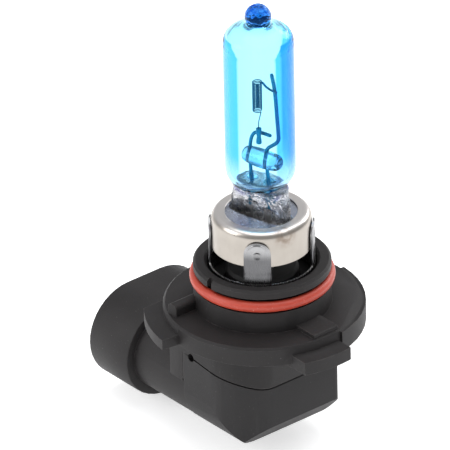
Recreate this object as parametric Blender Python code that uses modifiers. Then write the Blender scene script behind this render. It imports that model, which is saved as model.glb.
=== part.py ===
"""Halogen headlight bulb with a right-angle moulded base.

The bulb's axis is Z. The origin is on that axis, in the plane of the flange's top face, which seats against
the headlamp. The plug socket points along -X.
"""

import math

import bmesh
import bpy
from mathutils import Matrix, Vector

MM = 0.001

# Clearances
FIT_GAP = 0.3 * MM  # between pieces that touch or hold each other
WIRE_GAP = 0.1 * MM  # round wires and foils in the glass and the seal
WELD_GAP = 0.15 * MM  # between sheets that are spot-welded together

# Glass bulb
GLASS_RADIUS = 6.1 * MM
GLASS_WALL = 0.9 * MM
SHOULDER_HEIGHT = 50.9 * MM  # where the straight tube ends, above the flange
SHOULDER_RISE = 3.2 * MM
SHOULDER_ROUND = 2.3 * MM
TIP_BASE_RADIUS = 2.8 * MM
TIP_RADIUS = 2.35 * MM
TIP_HEIGHT = 3.5 * MM
MOUTH_ROUND = 1.6 * MM  # how far the tube draws in at its foot

# Pinch seal under the glass
PINCH_WIDTH = 12.0 * MM
PINCH_RIM = 3.4 * MM
PINCH_WEB = 2.4 * MM
PINCH_BOTTOM = 9.5 * MM
PINCH_TOP = 22.5 * MM
PINCH_ANGLE = math.radians(14)  # turn of the burner about the bulb's axis

# Lead wires, filament and what holds them
LEAD_RADIUS = 0.33 * MM
LEAD_SPACING = 3.8 * MM
FOIL_WIDTH = 1.6 * MM
FOIL_THICKNESS = 0.08 * MM
FOIL_BOTTOM = 11.5 * MM
FOIL_TOP = 18.5 * MM
BRIDGE_RADIUS = 1.7 * MM
BRIDGE_SIDE_GAP = 1.3 * MM  # between the bridge's ends and the tube
BRIDGE_HEIGHT = 28.0 * MM
COIL_RADIUS = 0.75 * MM
COIL_WIRE = 0.1 * MM
COIL_BOTTOM = 37.1 * MM
COIL_TURNS = 18
COIL_PITCH = 0.32 * MM
SLEEVE_RADIUS = 0.5 * MM
SLEEVE_LENGTH = 3.0 * MM
HOOK_HEIGHT = 32.9 * MM
SUPPORT_SIDE_GAP = 1.4 * MM  # between the long lead's middle and the tube
SUPPORT_TOP = 45.3 * MM

# Metal cup and its retaining ring
CUP_RADIUS = 8.65 * MM
CUP_BOTTOM = 11.2 * MM
CUP_HEIGHT = 6.4 * MM
CUP_WALL = 0.35 * MM
CUP_ROUND = 1.1 * MM
CUP_MOUTH_GAP = 0.2 * MM  # round the pinch, where it leaves the cup
INSERT_DEPTH = 2.4 * MM
SHEET = 0.4 * MM
BAND_HEIGHT = 2.9 * MM
TAB_WIDTH = 4.8 * MM
TAB_TOP = 16.1 * MM
TAB_COUNT = 4
TAB_ANGLE = math.radians(45)

# Collar, neck and flange of the base
NECK_WALL = 0.85 * MM  # between the cup's seat and the groove
GROOVE_DEPTH = 1.55 * MM
NECK_LAND = 3.9 * MM
GROOVE_WIDTH = 2.8 * MM
COLLAR_RIM = 1.5 * MM
RING_SECTION = 1.9 * MM  # thickness of the seal ring
FLANGE_RADIUS = 17.2 * MM
FLANGE_THICKNESS = 3.4 * MM
EDGE_ROUND = 0.4 * MM
SEAT_FLOOR = 4.2 * MM
GROMMET_RADIUS = 6.3 * MM
GROMMET_TOP = 7.0 * MM
GROMMET_LEDGE = 1.2 * MM

# Bayonet lugs, rib and pad on the flange
LUG_REACH = 3.25 * MM  # beyond the flange
SIDE_LUG_TOP = -1.6 * MM
SIDE_LUG_THICKNESS = 1.9 * MM
SIDE_LUG_START_X = -13.2 * MM
SIDE_LUG_END = math.radians(262.5)
FRONT_LUG_TOP = -1.7 * MM
FRONT_LUG_THICKNESS = 2.4 * MM
FRONT_LUG_LOW_Y = -6.85 * MM
FRONT_LUG_HIGH_Y = 2.5 * MM
WIDE_SECTOR_STEP = 0.5 * MM  # beyond the flange
WIDE_SECTOR_THICKNESS = 3.95 * MM
WIDE_SECTOR = (math.radians(10), math.radians(88))
RIB_X = -6.05 * MM
RIB_WIDTH = 2.3 * MM
RIB_HEIGHT = 2.1 * MM
PAD_Y = (-2.3 * MM, 3.0 * MM)
PAD_HEIGHT = 0.7 * MM
NOTCH_WIDTH = 1.1 * MM
NOTCH_DEPTH = 0.9 * MM

# Box of the base and its rear cover
BOX_FRONT = 6.9 * MM
BOX_HALF_WIDTH = 11.3 * MM
BOX_BOTTOM = -25.1 * MM
BOX_CORNER = 7.8 * MM
BOX_LOWER_ROUND = 7.6 * MM
BOX_SMALL_ROUND = 1.2 * MM
BOX_CHAMFER_X = 3.9 * MM
BOX_CHAMFER_Z = 4.1 * MM
BOX_WALL = 1.6 * MM
SKIRT_BACK = -12.5 * MM
CHAMBER_CEILING = -6.0 * MM
SEAM_X = -8.2 * MM  # where the cover meets the socket's neck
SEAM_LEVEL = -10.6 * MM
SEAM_SLOPE = 0.1
SEAM_DIP = 2.0 * MM
SEAM_DIP_LENGTH = 2.5 * MM
VENT_RADIUS = 0.75 * MM

# Plug socket
SOCKET_Z = -18.0 * MM
SOCKET_END = -32.3 * MM
SHROUD_BACK = -22.0 * MM
SHROUD_HALF_WIDTH = 12.5 * MM
SHROUD_RADIUS = 8.8 * MM
SHROUD_WALL = 1.7 * MM
SHROUD_DEPTH = 8.9 * MM
NECK_HALF_WIDTH = 10.9 * MM
NECK_ROUND = 7.1 * MM
POCKET_HALF_WIDTH = 8.6 * MM
POCKET_ROUND = 5.0 * MM
POCKET_FLOOR = -16.5 * MM
KEY_SIZE = (7.0 * MM, 1.4 * MM, 1.1 * MM)
KEY_Y = (-3.2 * MM, 4.6 * MM)
LATCH_LENGTH = 3.4 * MM
LATCH_WIDTH = 5.0 * MM
LATCH_HEIGHT = 1.5 * MM

# Terminals
BLADE_Y = 4.1 * MM
BLADE_WIDTH = 2.8 * MM
BLADE_THICKNESS = 0.8 * MM
BLADE_TIP = -29.5 * MM
POST_X = -1.5 * MM
POST_TOP = -14.0 * MM
CRIMP_RADIUS = 1.1 * MM
CRIMP_LENGTH = 3.6 * MM
OUTER_LEAD_RADIUS = 0.4 * MM
OUTER_LEAD_BEND = 1.5 * MM
CARRIER_LENGTH = 3.0 * MM
CARRIER_SIDE = 3.4 * MM  # beyond each blade's middle
CARRIER_EDGE = 1.8 * MM  # above and below the blades

# Mesh fineness and construction helpers
ROUND_STEPS = 48
SMALL_STEPS = 24
ARC_STEPS = 10
OVERLAP = 1.0 * MM  # how far joined shapes reach into each other
REACH = 60.0 * MM  # longer than any wall that a cutter passes

# Sizes that follow from the ones above
COLLAR_TOP = NECK_LAND + GROOVE_WIDTH + COLLAR_RIM
BAND_INNER = CUP_RADIUS + WELD_GAP
BAND_OUTER = BAND_INNER + SHEET
SEAT_RADIUS = BAND_OUTER + FIT_GAP
GROOVE_RADIUS = SEAT_RADIUS + NECK_WALL
NECK_RADIUS = GROOVE_RADIUS + GROOVE_DEPTH
RING_OUTER_RADIUS = GROOVE_RADIUS + FIT_GAP + RING_SECTION
LUG_RADIUS = FLANGE_RADIUS + LUG_REACH
WIDE_SECTOR_RADIUS = FLANGE_RADIUS + WIDE_SECTOR_STEP
BAND_BOTTOM = SEAT_FLOOR + FIT_GAP
CUP_TOP = CUP_BOTTOM + CUP_HEIGHT
CUP_MOUTH_RADIUS = PINCH_WIDTH / 2 + CUP_MOUTH_GAP
RING_HEIGHT = NECK_LAND + FIT_GAP + RING_SECTION / 2
MOUTH_BOTTOM = PINCH_TOP + FIT_GAP
SHOULDER_TOP = SHOULDER_HEIGHT + SHOULDER_RISE
TIP_TOP = SHOULDER_TOP + TIP_HEIGHT
TUBE_BORE_RADIUS = GLASS_RADIUS - GLASS_WALL
BRIDGE_LENGTH = 2 * (TUBE_BORE_RADIUS - BRIDGE_SIDE_GAP)
SUPPORT_OFFSET = TUBE_BORE_RADIUS - SUPPORT_SIDE_GAP
COIL_TOP = COIL_BOTTOM + COIL_TURNS * COIL_PITCH
HALF_GAP = FIT_GAP / 2


def clear_scene():
    for item in list(bpy.data.objects):
        bpy.data.objects.remove(item, do_unlink=True)


def new_collection(name, hidden=False):
    collection = bpy.data.collections.new(name)
    bpy.context.scene.collection.children.link(collection)
    collection.hide_render = hidden
    return collection


clear_scene()
PARTS = new_collection("headlight_bulb")
HELPERS = new_collection("cutters", hidden=True)


# Construction helpers


def place(item, collection):
    """Moves an object to one collection."""
    for home in list(item.users_collection):
        home.objects.unlink(item)
    collection.objects.link(item)


def as_helper(item):
    """Marks an object as a cutter or a shape to join, which isn't part of the model."""
    place(item, HELPERS)
    item.hide_render = True
    item.display_type = "WIRE"
    return item


def mesh_object(name, mesh):
    item = bpy.data.objects.new(name, mesh)
    PARTS.objects.link(item)
    return item


def finish_smooth(item, angle=35):
    """Smooth faces, with edges sharper than the angle kept crisp."""
    item.data.shade_smooth()
    item.data.set_sharp_from_angle(angle=math.radians(angle))


def arc(centre, radius, start, end, steps=ARC_STEPS):
    """Points on an arc, from the start angle to the end angle, both included."""
    turns = [start + (end - start) * i / steps for i in range(steps + 1)]
    return [(centre[0] + radius * math.cos(t), centre[1] + radius * math.sin(t)) for t in turns]


def turned(name, profile, steps=ROUND_STEPS, closed=False):
    """A turned shape: a profile of (radius, height) points, run down the outer side, spun about Z."""
    mesh = bpy.data.meshes.new(name)
    points = [(radius, 0, height) for radius, height in profile]
    edges = [(i, i + 1) for i in range(len(points) - 1)]
    if closed:
        edges.append((len(points) - 1, 0))
    mesh.from_pydata(points, edges, [])
    item = mesh_object(name, mesh)
    screw = item.modifiers.new("turn", "SCREW")
    screw.steps = steps
    screw.render_steps = steps
    screw.use_merge_vertices = True
    screw.merge_threshold = 1e-6
    screw.use_smooth_shade = True
    return item


def baked(item):
    """The object's evaluated mesh as a new plain mesh object, in place of the original."""
    graph = bpy.context.evaluated_depsgraph_get()
    mesh = bpy.data.meshes.new_from_object(item.evaluated_get(graph))
    welded = bmesh.new()
    welded.from_mesh(mesh)
    bmesh.ops.remove_doubles(welded, verts=welded.verts, dist=1e-6)
    welded.to_mesh(mesh)
    welded.free()
    name = item.name
    matrix = item.matrix_world.copy()
    bpy.data.objects.remove(item, do_unlink=True)
    made = mesh_object(name, mesh)
    made.matrix_world = matrix
    return made


def plate(name, outline, low, high, axis="Z", bevel=0.0):
    """A flat outline given thickness between two levels on an axis.

    The outline's two coordinates are X, Y for a plate along Z, Y, Z for one along X, and X, Z for one along Y.
    """
    curve = bpy.data.curves.new(name, "CURVE")
    curve.dimensions = "2D"
    curve.fill_mode = "BOTH"
    curve.extrude = (high - low) / 2 - bevel
    curve.bevel_depth = bevel
    curve.bevel_resolution = 1
    curve.offset = -bevel
    spline = curve.splines.new("POLY")
    spline.points.add(len(outline) - 1)
    for point, (a, b) in zip(spline.points, outline):
        point.co = (a, b, 0, 1)
    spline.use_cyclic_u = True
    item = bpy.data.objects.new(name, curve)
    PARTS.objects.link(item)
    turn = {
        "Z": Matrix.Identity(4),
        "X": Matrix(((0, 0, 1, 0), (1, 0, 0, 0), (0, 1, 0, 0), (0, 0, 0, 1))),
        "Y": Matrix(((1, 0, 0, 0), (0, 0, -1, 0), (0, 1, 0, 0), (0, 0, 0, 1))),
    }[axis]
    middle = (low + high) / 2
    item.matrix_world = Matrix.Translation({"Z": (0, 0, middle), "X": (middle, 0, 0), "Y": (0, middle, 0)}[axis]) @ turn
    bpy.context.view_layer.update()
    return baked(item)


def box(name, low, high):
    """A box between two corners."""
    mesh = bpy.data.meshes.new(name)
    shape = bmesh.new()
    size = Vector(high) - Vector(low)
    middle = (Vector(high) + Vector(low)) / 2
    bmesh.ops.create_cube(shape, size=1.0, matrix=Matrix.Translation(middle) @ Matrix.Diagonal((*size, 1.0)))
    shape.to_mesh(mesh)
    shape.free()
    return mesh_object(name, mesh)


def cylinder(name, radius, low, high, centre=(0, 0), steps=SMALL_STEPS):
    """An upright cylinder."""
    mesh = bpy.data.meshes.new(name)
    shape = bmesh.new()
    middle = Matrix.Translation((centre[0], centre[1], (low + high) / 2))
    bmesh.ops.create_cone(
        shape, cap_ends=True, segments=steps, radius1=radius, radius2=radius, depth=high - low, matrix=middle
    )
    shape.to_mesh(mesh)
    shape.free()
    return mesh_object(name, mesh)


def wire(name, points, radius, resolution=2):
    """A round wire through the points, with filled ends."""
    curve = bpy.data.curves.new(name, "CURVE")
    curve.dimensions = "3D"
    curve.bevel_depth = radius
    curve.bevel_resolution = resolution
    curve.use_fill_caps = True
    spline = curve.splines.new("POLY")
    spline.points.add(len(points) - 1)
    for point, place_at in zip(spline.points, points):
        point.co = (*place_at, 1)
    item = bpy.data.objects.new(name, curve)
    PARTS.objects.link(item)
    return item


def smooth_path(corners, radius, steps=5):
    """The points of a path whose corners are rounded with quadratic arcs."""
    path = [Vector(corners[0])]
    for before, corner, after in zip(corners, corners[1:], corners[2:]):
        before, corner, after = Vector(before), Vector(corner), Vector(after)
        inward = min(radius, (corner - before).length / 2)
        outward = min(radius, (after - corner).length / 2)
        start = corner + (before - corner).normalized() * inward
        end = corner + (after - corner).normalized() * outward
        for i in range(steps + 1):
            t = i / steps
            path.append((1 - t) ** 2 * start + 2 * t * (1 - t) * corner + t**2 * end)
    path.append(Vector(corners[-1]))
    return path


def combine(item, other, operation):
    """A Boolean that joins, cuts or trims the item with a helper."""
    as_helper(other)
    modifier = item.modifiers.new(f"{operation.lower()} {other.name}", "BOOLEAN")
    modifier.operation = operation
    modifier.solver = "EXACT"
    modifier.object = other
    return item


def join(item, other):
    return combine(item, other, "UNION")


def cut(item, other):
    return combine(item, other, "DIFFERENCE")


def trim(item, other):
    return combine(item, other, "INTERSECT")


def paint(item, colour, roughness, metallic=0.0, **more):
    """The object's own Principled material."""
    material = bpy.data.materials.new(item.name)
    material.use_nodes = True
    shader = material.node_tree.nodes["Principled BSDF"]
    shader.inputs["Base Color"].default_value = (*colour, 1)
    shader.inputs["Roughness"].default_value = roughness
    shader.inputs["Metallic"].default_value = metallic
    for socket, value in more.items():
        shader.inputs[socket.replace("_", " ")].default_value = value
    item.data.materials.clear()
    item.data.materials.append(material)


def stadium(half_width, radius, middle):
    """The outline of a flat-sided oval, in Y and Z, its middle at a height."""
    flat = half_width - radius
    right = arc((flat, middle), radius, -math.pi / 2, math.pi / 2, 2 * ARC_STEPS)
    left = arc((-flat, middle), radius, math.pi / 2, 3 * math.pi / 2, 2 * ARC_STEPS)
    return right + left


def rounded_box(low, high, radii):
    """A rectangle with its own radius at each corner: low-low, high-low, high-high, low-high."""
    centres = [
        (low[0] + radii[0], low[1] + radii[0]),
        (high[0] - radii[1], low[1] + radii[1]),
        (high[0] - radii[2], high[1] - radii[2]),
        (low[0] + radii[3], high[1] - radii[3]),
    ]
    outline = []
    for corner, (centre, radius) in enumerate(zip(centres, radii)):
        start = math.pi + corner * math.pi / 2
        outline += arc(centre, radius, start, start + math.pi / 2)
    return outline


def burner_frame():
    """The burner's frame: its X runs along the flat of the pinch."""
    return Matrix.Rotation(PINCH_ANGLE, 4, "Z")


def turn_with_burner(*items):
    for item in items:
        item.matrix_world = burner_frame() @ item.matrix_world


def burner_point(along, across, height):
    return burner_frame() @ Vector((along, across, height))


# Burner


def glass_envelope():
    corner = (GLASS_RADIUS - SHOULDER_ROUND, SHOULDER_HEIGHT)
    inner_round = SHOULDER_ROUND - GLASS_WALL
    outer = [(0, TIP_TOP)]
    outer += reversed(arc((0, TIP_TOP - TIP_RADIUS), TIP_RADIUS, 0, math.radians(76), 5))
    outer += [
        (TIP_RADIUS * 0.97, SHOULDER_TOP + 0.18 * TIP_HEIGHT),
        (TIP_BASE_RADIUS, SHOULDER_TOP),
    ]
    outer += reversed(arc(corner, SHOULDER_ROUND, 0, math.radians(68), 6))
    outer += reversed(arc((GLASS_RADIUS - MOUTH_ROUND, MOUTH_BOTTOM + MOUTH_ROUND), MOUTH_ROUND, -math.radians(50), 0, 4))
    inner_radius = TUBE_BORE_RADIUS
    inner = [(inner_radius - 0.4 * MOUTH_ROUND, MOUTH_BOTTOM)]
    inner += [(inner_radius, MOUTH_BOTTOM + MOUTH_ROUND)]
    inner += arc(corner, inner_round, 0, math.radians(72), 4)
    inner += [(0, SHOULDER_TOP - 1.2 * GLASS_WALL)]
    foot = [(GLASS_RADIUS - MOUTH_ROUND * (1 - math.cos(math.radians(50))), MOUTH_BOTTOM)]
    envelope = turned("glass_envelope", outer + foot + inner)
    paint(envelope, (0.55, 0.85, 1.0), 0.03, Transmission_Weight=0.9, IOR=1.46)
    return envelope


def pinch_outline(margin=0.0):
    """The pinch's section: a thin web with a thicker rim at each end."""
    half = PINCH_WIDTH / 2 + margin
    rim = PINCH_RIM / 2 + margin
    web = PINCH_WEB / 2 + margin
    rim_length = 1.7 * MM + margin
    slope = 0.6 * MM
    right = arc((half - rim, 0), rim, -math.pi / 2, math.pi / 2)
    shoulders = [(half - rim_length - slope, web), (-half + rim_length + slope, web)]
    left = arc((rim - half, 0), rim, math.pi / 2, 3 * math.pi / 2)
    return right + shoulders + left + [(-a, -b) for a, b in shoulders]


def foil_side(side):
    return side * LEAD_SPACING / 2


def foil_offset():
    """How far the foils lie behind the leads that are welded to them."""
    return -(OUTER_LEAD_RADIUS + FOIL_THICKNESS / 2 + WIRE_GAP)


def pinch_seal():
    pinch = plate("pinch_seal", pinch_outline(), PINCH_BOTTOM, PINCH_TOP)
    near = foil_offset() - FOIL_THICKNESS / 2 - WIRE_GAP
    far = OUTER_LEAD_RADIUS + WIRE_GAP
    half = FOIL_WIDTH / 2 + 2 * WIRE_GAP
    for side in (-1, 1):
        low = (foil_side(side) - half, near, PINCH_BOTTOM - OVERLAP)
        high = (foil_side(side) + half, far, PINCH_TOP + OVERLAP)
        slot = box(f"foil_slot_{'left' if side < 0 else 'right'}", low, high)
        turn_with_burner(slot)
        cut(pinch, slot)
    turn_with_burner(pinch)
    finish_smooth(pinch)
    paint(pinch, (0.75, 0.78, 0.8), 0.08, Transmission_Weight=0.8, IOR=1.46)
    return pinch


def foil(name, side):
    middle = foil_side(side)
    low = (middle - FOIL_WIDTH / 2, foil_offset() - FOIL_THICKNESS / 2, FOIL_BOTTOM)
    high = (middle + FOIL_WIDTH / 2, foil_offset() + FOIL_THICKNESS / 2, FOIL_TOP)
    strip = box(name, low, high)
    turn_with_burner(strip)
    paint(strip, (0.45, 0.44, 0.43), 0.35, 1.0)
    return strip


def long_lead_path():
    foot = foil_side(1)
    inside_bridge = foot - 0.6 * MM
    bend = BRIDGE_HEIGHT + BRIDGE_RADIUS + 0.6 * MM
    corners = [
        (foot, 0, FOIL_TOP - 1.5 * MM),
        (foot, 0, PINCH_TOP),
        (inside_bridge, 0, BRIDGE_HEIGHT - BRIDGE_RADIUS),
        (inside_bridge, 0, bend),
        (SUPPORT_OFFSET, 0, bend + 2.0 * MM),
        (SUPPORT_OFFSET - 0.6 * MM, 0, COIL_TOP),
        (SUPPORT_OFFSET - 1.2 * MM, 0, SUPPORT_TOP),
    ]
    return smooth_path(corners, 1.2 * MM)


def short_lead_path():
    foot = foil_side(-1)
    corners = [
        (foot, 0, FOIL_TOP - 1.5 * MM),
        (foot, 0, PINCH_TOP),
        (foot - 0.3 * MM, 0, BRIDGE_HEIGHT),
        (foot - 0.1 * MM, 0, HOOK_HEIGHT - 2.0 * MM),
        (-1.0 * MM, 0, HOOK_HEIGHT),
        (SUPPORT_OFFSET - 1.5 * MM, 0, HOOK_HEIGHT + 0.1 * MM),
    ]
    return smooth_path(corners, 1.4 * MM)


def lead_wire(name, path):
    lead = wire(name, path, LEAD_RADIUS)
    turn_with_burner(lead)
    paint(lead, (0.32, 0.33, 0.36), 0.3, 1.0)
    return lead


def lead_height_at(path, height):
    """Where along the burner a lead stands at a height."""
    for low, high in zip(path, path[1:]):
        if low.z <= height <= high.z:
            share = (height - low.z) / (high.z - low.z)
            return low.x + share * (high.x - low.x)
    return path[-1].x


def glass_bridge():
    """The bar of glass round both leads: rounded at its ends, with a clear hole for each lead."""
    half = BRIDGE_LENGTH / 2
    end = 0.9 * MM
    profile = [(0, half)]
    profile += reversed(arc((BRIDGE_RADIUS - end, half - end), end, 0, math.pi / 2, 5))
    profile += [(radius, -height) for radius, height in reversed(profile)]
    bridge = turned("glass_bridge", profile, SMALL_STEPS)
    bridge.matrix_world = Matrix.Translation((0.3 * MM, 0, BRIDGE_HEIGHT)) @ Matrix.Rotation(math.pi / 2, 4, "Y")
    turn_with_burner(bridge)
    for side, path in (("long", long_lead_path()), ("short", short_lead_path())):
        hole = wire(f"bridge_hole_{side}", [p for p in path if p.z > PINCH_TOP], LEAD_RADIUS + WIRE_GAP)
        turn_with_burner(hole)
        bpy.context.view_layer.update()
        cut(bridge, baked(hole))
    paint(bridge, (0.85, 0.92, 0.97), 0.04, Transmission_Weight=0.9, IOR=1.46)
    return bridge


def filament():
    """The upright coil with a leg to each lead: one wire."""
    middle = -0.45 * MM
    front = -(LEAD_RADIUS + COIL_WIRE + WIRE_GAP)
    points = [
        (SUPPORT_OFFSET + 0.2 * MM, front, COIL_TOP - 0.3 * MM),
        (SUPPORT_OFFSET - 0.8 * MM, front, COIL_TOP - 0.2 * MM),
        (middle + COIL_RADIUS, front, COIL_TOP + 0.3 * MM),
    ]
    per_turn = 8
    for i in range(COIL_TURNS * per_turn + 1):
        turn = 2 * math.pi * i / per_turn
        height = COIL_TOP - COIL_PITCH * i / per_turn
        points.append((middle + COIL_RADIUS * math.cos(turn), COIL_RADIUS * math.sin(turn), height))
    leg = sleeve_place()
    points += [
        (leg[0], leg[1], COIL_BOTTOM - 1.2 * MM),
        (leg[0], leg[1], HOOK_HEIGHT - SLEEVE_LENGTH / 2 + 0.4 * MM),
    ]
    coil = wire("filament", points, COIL_WIRE, 1)
    turn_with_burner(coil)
    paint(coil, (0.2, 0.2, 0.21), 0.4, 1.0)
    return coil


def sleeve_place():
    """The sleeve's axis, in front of the hooked lead."""
    return (0.45 * MM, -(LEAD_RADIUS + SLEEVE_RADIUS + WIRE_GAP))


def filament_sleeve():
    """A crimped tube on the filament's lower leg."""
    low = HOOK_HEIGHT - SLEEVE_LENGTH / 2
    high = HOOK_HEIGHT + SLEEVE_LENGTH / 2
    bore = COIL_WIRE + WIRE_GAP
    profile = [(bore, high), (SLEEVE_RADIUS, high), (SLEEVE_RADIUS, low), (bore, low)]
    sleeve = turned("filament_sleeve", profile, SMALL_STEPS, closed=True)
    sleeve.matrix_world = Matrix.Translation((*sleeve_place(), 0))
    turn_with_burner(sleeve)
    paint(sleeve, (0.4, 0.41, 0.43), 0.3, 1.0)
    return sleeve


# Metal cup, insert and retaining ring


def burner_cup():
    """A drawn cup, open below, with a round mouth in its top."""
    inner_round = CUP_ROUND - CUP_WALL
    centre = (CUP_RADIUS - CUP_ROUND, CUP_TOP - CUP_ROUND)
    outer = [(CUP_MOUTH_RADIUS, CUP_TOP)] + list(reversed(arc(centre, CUP_ROUND, 0, math.pi / 2, 5)))
    outer += [(CUP_RADIUS, CUP_BOTTOM)]
    inner = [(CUP_RADIUS - CUP_WALL, CUP_BOTTOM)] + arc(centre, inner_round, 0, math.pi / 2, 4)
    inner += [(CUP_MOUTH_RADIUS, CUP_TOP - CUP_WALL)]
    cup = turned("burner_cup", outer + inner, closed=True)
    paint(cup, (0.72, 0.68, 0.63), 0.25, 1.0)
    return cup


def cup_insert():
    """The spring plate in the cup's mouth: a shallow dish with a slot that grips the pinch."""
    top = CUP_TOP - CUP_WALL - HALF_GAP
    radius = CUP_RADIUS - CUP_WALL - FIT_GAP
    bend = 0.9 * MM
    outer = [(0, top)] + list(reversed(arc((radius - bend, top - bend), bend, 0, math.pi / 2, 4)))
    outer += [(radius, top - INSERT_DEPTH)]
    inner = [(radius - CUP_WALL, top - INSERT_DEPTH)]
    inner += arc((radius - bend, top - bend), bend - CUP_WALL, 0, math.pi / 2, 4)
    inner += [(0, top - CUP_WALL)]
    insert = turned("cup_insert", outer + inner)
    slot = plate("insert_slot", pinch_outline(FIT_GAP), CUP_BOTTOM, CUP_TOP + OVERLAP)
    turn_with_burner(slot)
    cut(insert, slot)
    paint(insert, (0.5, 0.54, 0.62), 0.22, 1.0)
    return insert


def tab_outline():
    """An upright tab with a round top, in Y and Z."""
    radius = TAB_WIDTH / 2
    top = arc((0, TAB_TOP - radius), radius, 0, math.pi, 2 * ARC_STEPS)
    return top + [(-radius, BAND_BOTTOM + BAND_HEIGHT / 2), (radius, BAND_BOTTOM + BAND_HEIGHT / 2)]


def retaining_ring():
    """A band with upright tabs, all on one cylinder of sheet."""
    profile = [
        (BAND_INNER, TAB_TOP + OVERLAP),
        (BAND_OUTER, TAB_TOP + OVERLAP),
        (BAND_OUTER, BAND_BOTTOM),
        (BAND_INNER, BAND_BOTTOM),
    ]
    ring = turned("retaining_ring", profile, closed=True)
    keep = cylinder("ring_keep", BAND_OUTER + OVERLAP, BAND_BOTTOM - OVERLAP, BAND_BOTTOM + BAND_HEIGHT, steps=32)
    for i in range(TAB_COUNT):
        angle = TAB_ANGLE + i * 2 * math.pi / TAB_COUNT
        tab = plate(f"tab_keep_{i + 1}", tab_outline(), BAND_INNER - 2 * OVERLAP, BAND_OUTER + 2 * OVERLAP, "X")
        tab.matrix_world = Matrix.Rotation(angle, 4, "Z") @ tab.matrix_world
        join(keep, tab)
    trim(ring, keep)
    paint(ring, (0.6, 0.6, 0.58), 0.22, 1.0)
    return ring


# Moulded base


def base_profile():
    """Half section of the collar, groove, neck and flange round the seat and the bore."""
    bore = GROMMET_RADIUS + FIT_GAP
    collar_bottom = COLLAR_TOP - COLLAR_RIM
    chamfer = 0.5 * MM
    return [
        (SEAT_RADIUS + chamfer, COLLAR_TOP),
        (NECK_RADIUS - EDGE_ROUND, COLLAR_TOP),
        (NECK_RADIUS, COLLAR_TOP - EDGE_ROUND),
        (NECK_RADIUS, collar_bottom),
        (GROOVE_RADIUS, collar_bottom),
        (GROOVE_RADIUS, NECK_LAND),
        (NECK_RADIUS, NECK_LAND),
        (NECK_RADIUS, 0),
        (FLANGE_RADIUS - EDGE_ROUND, 0),
        (FLANGE_RADIUS, -EDGE_ROUND),
        (FLANGE_RADIUS, -FLANGE_THICKNESS),
        (BOX_FRONT - OVERLAP, -FLANGE_THICKNESS),
        (BOX_FRONT - OVERLAP, CHAMBER_CEILING),
        (bore - 2 * OVERLAP, CHAMBER_CEILING),
        (bore - 2 * OVERLAP, SEAT_FLOOR),
        (SEAT_RADIUS, SEAT_FLOOR),
        (SEAT_RADIUS, COLLAR_TOP - chamfer),
    ]


def sector(radius, start, end, inner):
    """A ring sector's outline, in X and Y."""
    return arc((0, 0), radius, start, end) + arc((0, 0), inner, end, start)


def side_lug():
    """The bayonet lug beside the socket: round outside, with its back end square to X."""
    inner = FLANGE_RADIUS - 2 * OVERLAP
    start = 2 * math.pi - math.acos(SIDE_LUG_START_X / LUG_RADIUS)
    inner_start = 2 * math.pi - math.acos(SIDE_LUG_START_X / inner)
    outline = arc((0, 0), LUG_RADIUS, start, SIDE_LUG_END) + arc((0, 0), inner, SIDE_LUG_END, inner_start)
    return plate("side_lug", outline, SIDE_LUG_TOP - SIDE_LUG_THICKNESS, SIDE_LUG_TOP)


def front_lug():
    """The bayonet lug opposite the socket: round outside, with both ends square to Y."""
    inner = FLANGE_RADIUS - 3 * OVERLAP
    start = math.asin(FRONT_LUG_LOW_Y / LUG_RADIUS)
    end = math.asin(FRONT_LUG_HIGH_Y / LUG_RADIUS)
    outline = arc((0, 0), LUG_RADIUS, start, end)
    outline += [(inner, FRONT_LUG_HIGH_Y), (inner, FRONT_LUG_LOW_Y)]
    return plate("front_lug", outline, FRONT_LUG_TOP - FRONT_LUG_THICKNESS, FRONT_LUG_TOP)


def wide_sector():
    """The stretch of flange that stands out a little further and reaches lower."""
    outline = sector(WIDE_SECTOR_RADIUS, *WIDE_SECTOR, FLANGE_RADIUS - 3 * OVERLAP)
    return plate("wide_sector", outline, -WIDE_SECTOR_THICKNESS, -EDGE_ROUND / 2)


def flange_rib():
    """The round-topped rib from the neck to the flange's edge."""
    corner = 1.0 * MM
    low = (RIB_X - RIB_WIDTH / 2, -OVERLAP)
    high = (RIB_X + RIB_WIDTH / 2, RIB_HEIGHT)
    outline = rounded_box(low, high, (EDGE_ROUND, EDGE_ROUND, corner, corner))
    edge = math.sqrt((FLANGE_RADIUS - EDGE_ROUND) ** 2 - (abs(RIB_X) + RIB_WIDTH / 2) ** 2)
    return plate("flange_rib", outline, -edge, -NECK_RADIUS * 0.75, "Y")


def flange_pad():
    """The flat raised pad from the neck to the flange's front edge."""
    outer = FLANGE_RADIUS - EDGE_ROUND - PAD_HEIGHT / 2
    low = (NECK_RADIUS - 1.5 * OVERLAP, -OVERLAP)
    high = (outer, PAD_HEIGHT)
    outline = rounded_box(low, high, (EDGE_ROUND, EDGE_ROUND, EDGE_ROUND, EDGE_ROUND))
    return plate("flange_pad", outline, *PAD_Y, "Y")


def box_outline(inset=0.0):
    """The plan of the box under the flange, with one large round corner."""
    low = (SKIRT_BACK + inset, -BOX_HALF_WIDTH + inset)
    high = (BOX_FRONT - inset, BOX_HALF_WIDTH - inset)
    small = max(BOX_SMALL_ROUND - inset, 0.3 * MM)
    return rounded_box(low, high, (small, BOX_CORNER - inset, small, small))


def seam_height(x):
    """The height of the joint between base and cover, which dips towards the front face."""
    return SEAM_LEVEL - SEAM_SLOPE * x - SEAM_DIP * math.exp((x - BOX_FRONT) / SEAM_DIP_LENGTH)


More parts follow.
